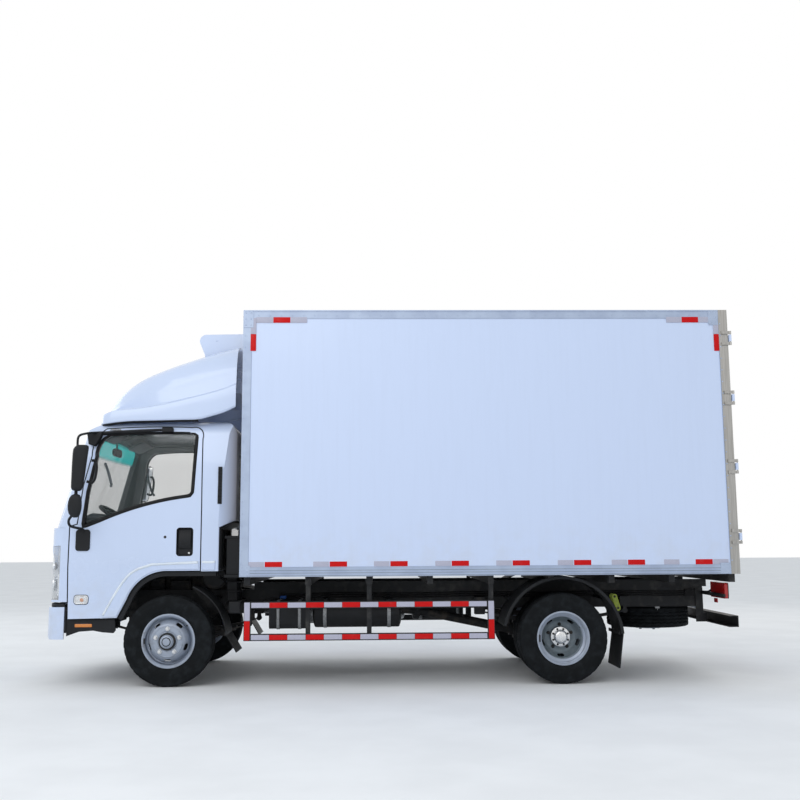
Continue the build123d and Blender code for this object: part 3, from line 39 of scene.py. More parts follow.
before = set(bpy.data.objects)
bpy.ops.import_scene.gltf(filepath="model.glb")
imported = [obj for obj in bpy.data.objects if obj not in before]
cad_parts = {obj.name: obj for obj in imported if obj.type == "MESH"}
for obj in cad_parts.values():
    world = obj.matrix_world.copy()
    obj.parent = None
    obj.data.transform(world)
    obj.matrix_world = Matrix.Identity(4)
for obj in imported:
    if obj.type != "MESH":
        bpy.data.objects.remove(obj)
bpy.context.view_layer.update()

# Lengths below are millimetres: x rearward from the front axle, y to the truck's right, z up.
MM = 0.001
MIDDLE = 1897.5
WHEELBASE = 3360.0
AXLE_Z = 380.0
FRONT_TRACK = 885
TWIN_OUTER, TWIN_INNER, TWIN_JOINT = 915, 683, 799
NUT_CIRCLE = 104
DOOR_Y = -975.0
BOX_SIDE = 1115.0
BOX_FRONT = 611.0
BOX_REAR = 4868.0
FAN_Z = 2760
SPARE_X = 4350
PROUD = 0.6
LEFT = -1
SIDES = ((LEFT, "left"), (1, "right"))


def at(x, y, z):
    """A point in millimetres from the front axle, as a point of the frame in metres."""
    return Vector(((x - MIDDLE) * MM, y * MM, z * MM))


# Shader expressions

def maths(operation, swapped=False):
    """A method that joins a value and what it meets with one Math node."""
    def method(self, *others):
        values = (*others, self) if swapped else (self, *others)
        return self.finish.node("ShaderNodeMath", {"operation": operation}, dict(enumerate(values)))
    return method


class Value:
    """A shader socket that takes part in Python expressions."""

    __add__ = __radd__ = maths("ADD")
    __rsub__ = maths("SUBTRACT", swapped=True)
    __mul__ = maths("MULTIPLY")
    __pow__ = maths("POWER")
    __abs__ = maths("ABSOLUTE")
    sine = maths("SINE")

    def __init__(self, finish, socket):
        self.finish = finish
        self.socket = socket

    def fade(self, low, high):
        """0 below low, 1 above high, smooth between."""
        return self.finish.node("ShaderNodeMapRange", {"interpolation_type": "SMOOTHSTEP"},
                                {"Value": self, "From Min": low, "From Max": high})

    def blend(self, low, high, first, second):
        """The first colour where the value is below low, the second where it is above high."""
        return self.finish.mix(self.fade(low, high), first, second)


class Finish:
    """One material, drawn with expressions on its nodes."""

    def __init__(self, name):
        self.material = bpy.data.materials.new(name)
        self.material.use_nodes = True
        self.tree = self.material.node_tree
        self.surface = self.tree.nodes["Principled BSDF"]

    def put(self, socket, value):
        if isinstance(value, Value):
            self.tree.links.new(value.socket, socket)
        else:
            socket.default_value = (*value, 1.0) if socket.type == "RGBA" else value

    def set(self, **values):
        """Sets or links sockets of the surface, with spaces in their names written as underscores."""
        for socket, value in values.items():
            self.put(self.surface.inputs[socket.replace("_", " ")], value)

    def node(self, kind, settings=None, inputs=None, out=0):
        """Adds any node: its settings first, then the values or links of its sockets."""
        made = self.tree.nodes.new(kind)
        for key, value in (settings or {}).items():
            setattr(made, key, value)
        for key, value in (inputs or {}).items():
            self.put(made.inputs[key], value)
        return Value(self, made.outputs[out])

    def mix(self, factor, first, second):
        """Blends two colours."""
        return self.node("ShaderNodeMix", {"data_type": "RGBA"}, {0: factor, 6: first, 7: second}, 2)

    def place(self):
        """The point on the piece in metres, in the frame."""
        return self.node("ShaderNodeTexCoord", out="Object")

    def xyz(self):
        """The point's three numbers."""
        split = self.node("ShaderNodeSeparateXYZ", None, {0: self.place()})
        return [Value(self, split.socket.node.outputs[i]) for i in range(3)]

    def scaled(self, x, y, z):
        """The point stretched along each axis, for grain that runs one way."""
        return self.node("ShaderNodeVectorMath", {"operation": "MULTIPLY"}, {0: self.place(), 1: (x, y, z)})

    def noise(self, scale, detail=3.0, roughness=0.55, vector=None):
        return self.node("ShaderNodeTexNoise", None, {
            "Vector": vector or self.place(), "Scale": scale, "Detail": detail, "Roughness": roughness})

    def cells(self, scale, feature="F1"):
        return self.node("ShaderNodeTexVoronoi", {"feature": feature},
                         {"Vector": self.place(), "Scale": scale})

    def facing(self, blend):
        """0 where the surface is seen square on, 1 at grazing angles."""
        return self.node("ShaderNodeLayerWeight", None, {"Blend": blend}, "Facing")

    def bump(self, height, strength, distance=0.001):
        return self.node("ShaderNodeBump", None, {"Height": height, "Strength": strength,
                                                  "Distance": distance})


LOOKS = {}
FINISHES = {}


def look(draw):
    """Marks a function that draws the finish of its own name."""
    LOOKS[draw.__name__] = draw
    return draw


def finish(name):
    """The material of that name, drawn once."""
    if name not in FINISHES:
        FINISHES[name] = Finish(name)
        LOOKS[name](FINISHES[name])
    return FINISHES[name].material


def colours():
    return bpy.context.scene.truck_colours


def sizes():
    return bpy.context.scene.truck_sizes


def shade(colour, factor):
    return tuple(min(1.0, c * factor) for c in colour[:3])


def road_dust(made, low, high):
    """A mask of road dust that thins out between two heights in metres, broken up by noise."""
    return (1 - made.xyz()[2].fade(low, high)) * made.noise(7.0, 5.0).fade(0.35, 0.75)


def facing_in(made, centre):
    """1 on the faces of a hollow body that look towards its middle."""
    normal = made.node("ShaderNodeTexCoord", out="Normal")
    away = made.node("ShaderNodeVectorMath", {"operation": "SUBTRACT"},
                     {0: made.place(), 1: tuple(at(*centre))})
    along = made.node("ShaderNodeVectorMath", {"operation": "DOT_PRODUCT"}, {0: normal, 1: away}, "Value")
    return 1 - along.fade(-0.03, 0.03)


def grained(made, tone, span, first, second, rough, gain, **more):
    """Colour and roughness that both follow one texture."""
    made.set(Base_Color=tone.blend(*span, first, second), Roughness=rough + tone * gain, **more)


def white_paint(made, white, lined=False):
    """Clear-coated paint with dust low down; lined adds the cab's dark lining on the faces that look in."""
    dust = road_dust(made, 0.45, 1.2)
    tone = made.noise(2.3, 2.0)
    colour = made.mix(dust * 0.30, tone.blend(0.3, 0.7, shade(white, 0.975), white), (0.52, 0.50, 0.46))
    if lined:
        lining = made.mix(tone, (0.07, 0.075, 0.08), (0.11, 0.115, 0.12))
        colour = made.mix(facing_in(made, (-150, 0, 1500)), colour, lining)
    made.set(Coat_Weight=0.7, Coat_Roughness=0.06, IOR=1.45, Base_Color=colour, Roughness=0.26 + dust * 0.25,
             Normal=made.bump(made.noise(240.0, 2.0), 0.04, 0.0004))


@look
def cab_paint(made):
    white_paint(made, colours().shaded_cab_white, lined=True)


@look
def fairing_paint(made):
    white_paint(made, colours().shaded_cab_white)


# A lighter white than the cab's paint: a painted highlight on the raised line over the wheel arch.
@look
def ridge_highlight_paint(made):
    white_paint(made, (0.84, 0.91, 0.98))


@look
def box_panel(made):
    white = colours().shaded_panel_white
    dust = road_dust(made, 0.9, 1.5)
    streak = made.noise(5.0, 4.0, 0.6, made.scaled(6.0, 6.0, 0.35))
    base = streak.blend(0.40, 0.72, white, shade(white, 0.985))
    made.set(Coat_Weight=0.25, Coat_Roughness=0.12, Base_Color=made.mix(dust * 0.22, base,
                                                                        (0.56, 0.54, 0.50)),
             Roughness=0.34 + streak * 0.08, Normal=made.bump(made.noise(1.6, 2.0), 0.10, 0.004))


@look
def moulding_white(made):
    white = colours().shaded_cab_white
    grained(made, made.noise(3.1, 3.0), (0.35, 0.7), shade(white, 0.97), white, 0.30, 0.06, Coat_Weight=0.4,
            Coat_Roughness=0.10, Normal=made.bump(made.noise(4.0, 2.0), 0.12, 0.002))


@look
def front_sheet(made):
    grain = made.noise(12.0, 4.0, 0.6, made.scaled(1.0, 1.0, 0.2))
    grained(made, grain, (0.3, 0.7), (0.62, 0.50, 0.40), (0.72, 0.62, 0.52), 0.42, 0.1)


@look
def extruded_trim(made):
    drawn = made.noise(22.0, 4.0, 0.6, made.scaled(0.15, 5.0, 5.0))
    colour = made.noise(6.0, 4.0).blend(0.3, 0.7, (0.38, 0.45, 0.60), (0.45, 0.53, 0.68))
    made.set(Metallic=0.3, Base_Color=colour, Roughness=0.36 + drawn * 0.14,
             Normal=made.bump(drawn, 0.06, 0.0004))


@look
def stainless(made):
    drawn = made.noise(30.0, 4.0, 0.6, made.scaled(4.0, 4.0, 0.12))
    grained(made, drawn, (0.3, 0.7), (0.36, 0.35, 0.33), (0.46, 0.45, 0.43), 0.26, 0.16, Metallic=0.85,
            Normal=made.bump(drawn, 0.05, 0.0003))


@look
def bright_steel(made):
    grained(made, made.noise(60.0, 4.0), (0.3, 0.7), (0.62, 0.63, 0.64), (0.78, 0.79, 0.80), 0.20, 0.18,
            Metallic=1.0)


@look
def frame_black(made):
    grained(made, made.noise(9.0, 5.0), (0.45, 0.8), (0.016, 0.017, 0.019), (0.060, 0.058, 0.055), 0.42, 0.25,
            Specular_IOR_Level=0.22, Normal=made.bump(made.noise(160.0, 2.0), 0.12, 0.0005))


@look
def cast_dark(made):
    grained(made, made.noise(11.0, 5.0), (0.45, 0.75), (0.030, 0.031, 0.033), (0.085, 0.074, 0.064), 0.55,
            0.2,
            Metallic=0.3, Specular_IOR_Level=0.22, Normal=made.bump(made.noise(180.0, 4.0), 0.35, 0.0008))


@look
def zinc(made):
    spangle = made.cells(70.0).blend(0.1, 0.6, (0.20, 0.21, 0.22), (0.30, 0.31, 0.32))
    made.set(Metallic=0.7, Base_Color=spangle, Roughness=0.36 + made.noise(8.0, 5.0) * 0.25)


@look
def black_plastic(made):
    black = colours().plastic_black
    grained(made, made.noise(5.0, 4.0), (0.4, 0.8), black, shade(black, 1.5), 0.48, 0.14,
            Specular_IOR_Level=0.22, Normal=made.bump(made.cells(900.0), 0.20, 0.0004))


@look
def seal_rubber(made):
    grained(made, made.noise(40.0, 4.0), (0.5, 0.85), (0.008, 0.008, 0.009), (0.035, 0.035, 0.036), 0.55,
            0.15,
            Specular_IOR_Level=0.22)


@look
def tyre_rubber(made):
    black = colours().tyre_black
    grained(made, made.noise(14.0, 5.0), (0.40, 0.80), shade(black, 0.6), shade(black, 1.5), 0.62, 0.18,
            Specular_IOR_Level=0.10, Normal=made.bump(made.noise(320.0, 2.0), 0.25, 0.0005))


@look
def wheel_silver(made):
    silver = colours().wheel_silver
    dust = made.noise(16.0, 5.0)
    base = made.noise(700.0, 1.0).blend(0.3, 0.7, shade(silver, 0.90), silver)
    made.set(Metallic=0.45, Coat_Weight=0.2, Coat_Roughness=0.2, Roughness=0.34 + dust * 0.22,
             Base_Color=made.mix(dust.fade(0.45, 0.85) * 0.45, base, (0.17, 0.155, 0.14)))


# A dark grey, used for the rear wheels' discs and as painted shade in the box rail's grooves.
@look
def grey_and_groove_shade(made):
    grained(made, made.noise(25.0, 5.0), (0.4, 0.8), (0.19, 0.23, 0.26), (0.26, 0.30, 0.33), 0.5, 0.15,
            Metallic=0.4)


def see_through(made, tint, clearness):
    """Thin safety glass that light goes straight through and that reflects at grazing angles."""
    film = made.noise(3.0, 3.0)
    made.set(Roughness=0.03, IOR=1.5, Coat_Weight=0.3)
    cover = (1 - clearness) + made.facing(0.35) ** 2.0 * 0.35 + film * 0.03
    return film.blend(0.3, 0.7, tint, shade(tint, 0.9)), cover


@look
def clear_glass(made):
    colour, cover = see_through(made, (0.10, 0.13, 0.13), 0.88)
    made.set(Base_Color=colour, Alpha=cover)


@look
def screen_glass(made):
    colour, cover = see_through(made, (0.60, 0.72, 0.72), 0.84)
    band = made.xyz()[2].fade(1.98, 2.03)
    # The teal sun band is tinted glass; its emission is a painted highlight, a glow that makes the band
    # brighter than its tint.
    made.set(Base_Color=made.mix(band, colour, (0.0, 0.58, 0.62)), Alpha=cover + band * 0.60,
             Emission_Color=made.mix(band, (0.0, 0.0, 0.0), (0.0, 0.42, 0.40)), Emission_Strength=0.7)


@look
def lamp_glass(made):
    haze = made.noise(20.0, 2.0).blend(0.3, 0.7, (0.80, 0.83, 0.86), (0.90, 0.92, 0.94))
    made.set(Roughness=0.04, IOR=1.49, Coat_Weight=1.0, Base_Color=haze,
             Alpha=0.20 + made.facing(0.4) ** 2.0 * 0.5)


@look
def mirror_silver(made):
    made.set(Metallic=1.0, Base_Color=(0.90, 0.92, 0.94), Roughness=0.02 + made.noise(15.0, 2.0) * 0.03)


@look
def reflector_chrome(made):
    facet = made.cells(90.0)
    made.set(Metallic=1.0, Base_Color=(0.82, 0.84, 0.86), Roughness=0.10 + facet * 0.1,
             Normal=made.bump(facet, 0.4, 0.002))


def moulded_lens(made, colour):
    """Coloured lens with a fine grid of prisms."""
    x, y, z = made.xyz()
    grid = abs(((x + y) * 900.0).sine()) * abs((z * 900.0).sine())
    made.set(Coat_Weight=0.8, Coat_Roughness=0.05, Base_Color=made.mix(grid, shade(colour, 0.6), colour),
             Roughness=0.16 + grid * 0.1, Normal=made.bump(grid, 0.5, 0.0006))


@look
def red_lens(made):
    moulded_lens(made, colours().tape_red[:])


@look
def amber_lens(made):
    moulded_lens(made, (0.85, 0.26, 0.02))


@look
def white_lens(made):
    moulded_lens(made, (0.78, 0.80, 0.82))


def tape(made, colour):
    """Reflective tape: a honeycomb of sealed cells under a clear film."""
    line = 1 - made.cells(260.0, "DISTANCE_TO_EDGE").fade(0.02, 0.10)
    dust = made.noise(18.0, 4.0)
    base = made.mix(line * 0.5, colour, shade(colour, 1.35))
    made.set(Coat_Weight=0.05, Coat_Roughness=0.1, Specular_IOR_Level=0.15, Roughness=0.28 + dust * 0.15,
             Base_Color=made.mix(dust.fade(0.5, 0.9) * 0.10, base, (0.35, 0.33, 0.31)),
             Normal=made.bump(line, 0.15, 0.0003))


@look
def tape_red(made):
    tape(made, colours().tape_red[:])


@look
def tape_white(made):
    tape(made, colours().tape_white[:])


@look
def seat_cloth(made):
    x, y, z = made.xyz()
    weave = abs((x * 1800.0).sine()) * abs(((y + z) * 1800.0).sine())
    worn = made.noise(9.0, 4.0)
    colour = made.mix(weave, (0.030, 0.033, 0.040), (0.075, 0.080, 0.095))
    made.set(Sheen_Weight=0.3, Base_Color=made.mix(worn.fade(0.5, 0.8) * 0.3, colour, (0.13, 0.13, 0.14)),
             Roughness=0.85 + worn * 0.05, Normal=made.bump(weave, 0.5, 0.0008))


@look
def cabin_plastic(made):
    grained(made, made.noise(6.0, 3.0), (0.3, 0.7), (0.085, 0.092, 0.10), (0.12, 0.127, 0.135), 0.55, 0.1,
            Normal=made.bump(made.cells(700.0), 0.25, 0.0005))


@look
def cabin_lining(made):
    felt = made.noise(420.0, 3.0)
    made.set(Base_Color=felt.blend(0.3, 0.7, (0.20, 0.215, 0.235), (0.26, 0.275, 0.295)), Roughness=0.9,
             Normal=made.bump(felt, 0.3, 0.001))


@look
def floor_plate(made):
    rib = abs((made.xyz()[1] * 90.0).sine())
    grained(made, made.noise(10.0, 5.0), (0.3, 0.8), (0.42, 0.43, 0.44), (0.55, 0.56, 0.57), 0.35, 0.25,
            Metallic=0.6, Normal=made.bump(rib, 0.3, 0.002))


@look
def lime_paint(made):
    grained(made, made.noise(50.0, 4.0), (0.5, 0.8), (0.42, 0.52, 0.06), (0.22, 0.24, 0.07), 0.5, 0.1)


@look
def blue_cap(made):
    tone = made.noise(40.0, 3.0)
    made.set(Base_Color=made.mix(tone, (0.02, 0.10, 0.42), (0.04, 0.16, 0.55)), Roughness=0.4 + tone * 0.1)


@look
def floor_pale(made):
    colour = made.noise(1.4, 4.0).blend(0.3, 0.7, (0.88, 0.885, 0.89), (0.93, 0.935, 0.94))
    made.set(Base_Color=colour, Roughness=0.9)


# Outlines

def circle(radius, count, start=0.0):
    """Points round a circle, the first at an angle in degrees."""
    angles = (2 * pi * k / count + radians(start) for k in range(count))
    return [(radius * cos(a), radius * sin(a)) for a in angles]


def curve(rows, step=30.0, closed=True):
    """Points along an outline: 2 numbers end a straight run, 4 end an arc through the first 2."""
    points = []
    last = rows[-1][-2:] if closed else rows[0][:2]
    for row in rows if closed else rows[1:]:
        end = row[-2:]
        if len(row) == 4:
            points += arc_points(last, row[:2], end, step)
        else:
            count = max(1, int(dist(last, end) / step))
            points += [tuple(last[i] + (end[i] - last[i]) * (k + 1) / count for i in (0, 1))
                       for k in range(count)]
        last = end
    return points if closed else [tuple(rows[0][:2])] + points


def arc_points(start, through, end, step):
    """Points of the circle through three points, after the first."""
    (ax, ay), (bx, by), (cx, cy) = start, through, end
    d = 2 * (ax * (by - cy) + bx * (cy - ay) + cx * (ay - by))
    sa, sb, sc = ax * ax + ay * ay, bx * bx + by * by, cx * cx + cy * cy
    ux = (sa * (by - cy) + sb * (cy - ay) + sc * (ay - by)) / d
    uy = (sa * (cx - bx) + sb * (ax - cx) + sc * (bx - ax)) / d
    radius = dist((ux, uy), start)
    first = atan2(ay - uy, ax - ux)
    turn = (atan2(cy - uy, cx - ux) - first) % (2 * pi)
    mid = (atan2(by - uy, bx - ux) - first) % (2 * pi)
    if mid > turn:
        turn -= 2 * pi
    count = max(3, int(abs(turn) * radius / step))
    return [(ux + radius * cos(first + turn * k / count), uy + radius * sin(first + turn * k / count))
            for k in range(1, count + 1)]


def shifted(points, gap, closed=True):
    """An outline moved sideways by gap: a closed one outward when positive, an open one to its right."""
    last = len(points) - 1
    area = sum(a[0] * b[1] - b[0] * a[1] for a, b in zip(points, points[1:] + points[:1]))
    turn = 1 if area > 0 or not closed else -1
    moved = []
    for i, (x, y) in enumerate(points):
        before, after = (points[i - 1], points[(i + 1) % len(points)]) if closed else \
            (points[max(0, i - 1)], points[min(last, i + 1)])
        along = (Vector(after) - Vector(before)).normalized()
        moved.append((x + along.y * gap * turn, y - along.x * gap * turn))
    return moved


def rounded(x0, x1, z0, z1, radius, steps=5):
    """Outline of a rectangle with rounded corners."""
    points = []
    for cx, cz, first in ((x1 - radius, z1 - radius, 0), (x0 + radius, z1 - radius, 90),
                          (x0 + radius, z0 + radius, 180), (x1 - radius, z0 + radius, 270)):
        for k in range(steps + 1):
            a = radians(first + 90 * k / steps)
            points.append((cx + radius * cos(a), cz + radius * sin(a)))
    return points


def oblong(x, z, half_x, half_z):
    """Outline of a rectangle round its middle."""
    return [(x - half_x, z - half_z), (x + half_x, z - half_z), (x + half_x, z + half_z),
            (x - half_x, z + half_z)]


def smooth_path(points, parts=6):
    """A curve that passes smoothly through the points."""
    pts = [Vector(p) for p in points]
    pts = [pts[0] * 2 - pts[1]] + pts + [pts[-1] * 2 - pts[-2]]
    path = []
    for i in range(1, len(pts) - 2):
        a, b, c, d = pts[i - 1:i + 3]
        for k in range(parts):
            t = k / parts
            path.append(0.5 * ((2 * b) + (c - a) * t + (2 * a - 5 * b + 4 * c - d) * t ** 2
                               + (3 * b - a - 3 * c + d) * t ** 3))
    return path + [pts[-2]]


# Shapes

class Form:
    """A mesh being built, in millimetres from the front axle."""

    def __init__(self):
        self.points = []
        self.faces = []

    def add(self, points):
        first = len(self.points)
        self.points += [tuple(p) for p in points]
        return list(range(first, len(self.points)))

    def skin(self, rings, around=True, along=False, caps=True):
        """Faces between rings; around closes each ring, along joins the last ring to the first."""
        loops = [self.add(ring) for ring in rings]
        count = len(loops[0])
        for a, b in list(zip(loops, loops[1:])) + ([(loops[-1], loops[0])] if along else []):
            for i in range(count if around else count - 1):
                j = (i + 1) % count
                self.faces.append((a[i], a[j], b[j], b[i]))
        if caps and around and not along:
            self.faces += [tuple(reversed(loops[0])), tuple(loops[-1])]
        return self

    def box(self, x0, x1, y0, y1, z0, z1):
        low = [(x0, y0, z0), (x1, y0, z0), (x1, y1, z0), (x0, y1, z0)]
        return self.skin([low, [(x, y, z1) for x, y, _ in low]])

    def boxes(self, rows):
        for row in rows:
            self.box(*row)
        return self

    def plate(self, outline, *levels, facing="side", side=1, caps=True):
        """A panel from an outline (x, z, or y, z at an end); a level is a depth, or a depth and a shift."""
        rings = []
        for depth, gap in (level if isinstance(level, tuple) else (level, 0) for level in levels):
            rings.append([(a, depth * side, b) if facing == "side" else (depth, a * side, b)
                          for a, b in shifted(outline, gap)])
        return self.skin(rings, caps=caps)

    def end_plate(self, outline, *levels, side=1, caps=True):
        return self.plate(outline, *levels, facing="end", side=side, caps=caps)

    def tube(self, points, radius, sides=10, closed=False):
        """A round bar or hose along the points."""
        pts = [Vector(p) for p in points]
        rings = []
        up = None
        for i, point in enumerate(pts):
            before = pts[i - 1] if i or closed else point
            after = pts[(i + 1) % len(pts)] if i + 1 < len(pts) or closed else point
            along = (after - before).normalized()
            if up is None:
                up = along.orthogonal().normalized()
            up = (up - along * up.dot(along)).normalized()
            over = along.cross(up)
            size = radius[i] if hasattr(radius, "__len__") else radius
            rings.append([point + (up * c + over * s) * size for c, s in circle(1.0, sides)])
        return self.skin(rings, along=closed)

    def hose(self, points, radius, sides=10):
        """A round bar bent smoothly through the points."""
        return self.tube(smooth_path(points), radius, sides)

    def hoop(self, centre, radius, wire, count, axis="x"):
        """A ring of round wire, square to an axis."""
        x, y, z = centre
        path = [{"x": (x, y + u, z + v), "y": (x + u, y, z + v), "z": (x + u, y + v, z)}[axis]
                for u, v in circle(radius, count)]
        return self.tube(path, wire, 6, closed=True)

    def turned(self, profile, centre, axis="y", side=1, steps=48, closed=True):
        """A profile of (radius, distance along) rows turned about an axis through centre."""
        x, y, z = centre
        rings = []
        for u, v in circle(1.0, steps):
            rings.append([{"y": (x + r * u, y + w * side, z + r * v),
                           "x": (x + w * side, y + r * u, z + r * v),
                           "z": (x + r * u, y + r * v, z + w * side)}[axis] for r, w in profile])
        return self.skin(rings, around=closed, along=True, caps=False)

    def patch(self, rows):
        """An open sheet through a grid of points."""
        return self.skin(rows, around=False, caps=False)

    def flipped(self):
        """The same form on the other side of the truck."""
        other = Form()
        other.points = [(x, -y, z) for x, y, z in self.points]
        other.faces = [tuple(reversed(face)) for face in self.faces]
        return other

    def on(self, side):
        return self if side == LEFT else self.flipped()

    def join(self, other):
        first = len(self.points)
        self.points += other.points
        self.faces += [tuple(i + first for i in face) for face in other.faces]
        return self

    def both(self):
        return self.join(self.flipped())

    def show(self, name, body, slot, coat=None, bevel=0.0, smooth=35.0, thick=0.0, subdivide=0):
        """Makes the object on its body, in the finish that its slot names or another."""
        mesh = bpy.data.meshes.new(name)
        mesh.from_pydata([at(*p) for p in self.points], [], self.faces)
        work = bmesh.new()
        work.from_mesh(mesh)
        bmesh.ops.remove_doubles(work, verts=work.verts, dist=1e-6)
        bmesh.ops.recalc_face_normals(work, faces=work.faces)
        work.to_mesh(mesh)
        work.free()
        piece = bpy.data.objects.new(name, mesh)
        bpy.context.scene.collection.objects.link(piece)
        mesh.materials.append(finish(coat or slot))
        if thick:
            solid = piece.modifiers.new("Thickness", "SOLIDIFY")
            solid.thickness = thick * MM
            solid.offset = 0.0
        if subdivide:
            rounding = piece.modifiers.new("Rounding", "SUBSURF")
            rounding.levels = rounding.render_levels = subdivide
        if bevel:
            edge = piece.modifiers.new("Edges", "BEVEL")
            edge.width = bevel * MM
            edge.segments = 2
            edge.limit_method = "ANGLE"
            edge.angle_limit = radians(35)
        mesh.shade_smooth()
        mesh.set_sharp_from_angle(angle=radians(smooth))
        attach(piece, body)
        return piece


class Surface:
    """Finds points on the outside of some CAD nodes."""

    def __init__(self, *names):
        work = bmesh.new()
        for name in names:
            work.from_mesh(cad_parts[name].data)
        self.tree = BVHTree.FromBMesh(work)
        work.free()

    def hit(self, start, heading, lift):
        found = self.tree.ray_cast(at(*start), Vector(heading))[0]
        if found is None:
            return None
        found = found - Vector(heading) * lift * MM
        return (found.x / MM + MIDDLE, found.y / MM, found.z / MM)

    def side(self, x, z, lift=0.0, side=LEFT):
        return self.hit((x, side * 3000, z), (0, -side, 0), lift)

    def front(self, y, z, lift=0.0):
        return self.hit((-4000, y, z), (1, 0, 0), lift)


def bead(middle, width, height, place, closed=True, crown=(0.0, 0.75, 1.0, 0.75, 0.0)):
    """A raised strip along a 2-D line; place gives the surface point at (a, b, lift)."""
    lines = [shifted(middle, width * (i / (len(crown) - 1) - 0.5), closed) for i in range(len(crown))]
    rings = []
    for i in range(len(middle)):
        ring = [place(*line[i], PROUD + height * rise) for line, rise in zip(lines, crown)]
        if all(ring):
            rings.append(ring)
    return Form().skin(rings, around=False, along=closed, caps=False)


# What a user may change

def paint(name, description, *colour):
    return FloatVectorProperty(name=name, description=description, subtype="COLOR", size=3, min=0, max=1,
                               default=colour)


def length(name, description, default, low, high):
    return FloatProperty(name=name, description=description, default=default, min=low, max=high,
                         unit="LENGTH")


class TruckColours(PropertyGroup):
    # The cab and panel whites are white paint drawn darker and bluer than it is: painted shade of a side lit
    # only by the sky.
    shaded_cab_white: paint("Cab white", "Paint of the cab, bumper and fairing", 0.61, 0.71, 0.92)
    shaded_panel_white: paint("Panel white", "Skin of the insulated box", 0.64, 0.74, 0.96)
    tape_red: paint("Red", "Red reflective tape and rear lenses", 0.58, 0.004, 0.005)
    tape_white: paint("White tape", "White reflective tape", 0.46, 0.46, 0.56)
    wheel_silver: paint("Wheel silver", "Paint of the pressed wheels", 0.36, 0.41, 0.50)
    tyre_black: paint("Tyre black", "Rubber of the tyres", 0.012, 0.014, 0.016)
    plastic_black: paint("Plastic black", "Mirrors, handles and lower trim", 0.012, 0.013, 0.015)


class TruckSizes(PropertyGroup):
    tape_height: length("Tape height", "Height of the reflective strips on the box", 0.05, 0.02, 0.08)
    seal_width: length("Seal width", "Width of the rubber round the side windows", 0.030, 0.01, 0.05)
    tread_depth: length("Tread depth", "Depth of the tyres' grooves", 0.011, 0.002, 0.016)
    rivet_pitch: length("Rivet pitch", "Distance between rivets on the box's edge rails", 0.097, 0.05, 0.4)
    fan_blades: IntProperty(name="Fan blades", description="Blades of each condenser fan", default=7,
                            min=3, max=12)


# The finish of each CAD piece
COATS = {
    "frame_black": "frame_rails crossmembers side_guards underrun_bar box_base cab_floor",
    "cast_dark": "front_axle rear_axle leaf_springs engine_block left_knuckle right_knuckle tie_rod",
    "zinc": "exhaust",
    "black_plastic": "side_tanks mudguards cab_trim steering_wheel left_mirrors right_mirrors",
    "tyre_rubber": "spare_tyre front_left_tyre front_right_tyre rear_left_tyres rear_right_tyres",
    "wheel_silver": "spare_carrier front_left_wheel front_right_wheel rear_left_wheels rear_right_wheels",
    "fairing_paint": "front_bumper fairing",
    "red_lens": "tail_lamps",
    "floor_plate": "box_floor",
    "front_sheet": "box_front_wall",
    "box_panel": "box_left_wall box_right_wall box_roof rear_left_door rear_right_door",
    "stainless": "box_rear_frame",
    "extruded_trim": "box_edge_rails",
    "moulding_white": "refrigeration_unit evaporator",
    "cab_paint": "cab_front cab_roof cab_rear left_door right_door",
    "screen_glass": "cab_glass",
    "lamp_glass": "head_lamps",
    "seat_cloth": "seats",
    "cabin_plastic": "dashboard",
    "clear_glass": "left_door_glass right_door_glass",
}


class Step:
    """What the operators share: each makes its pieces and reports that it is done."""

    def execute(self, context):
        self.make()
        return {"FINISHED"}


class TRUCK_OT_coats(Step, Operator):
    """Gives every CAD piece its finish."""
    bl_idname = "truck.coats"
    bl_label = "Finishes"

    def make(self):
        for name, nodes in COATS.items():
            for node in nodes.split():
                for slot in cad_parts[node].material_slots:
                    slot.material = finish(name)


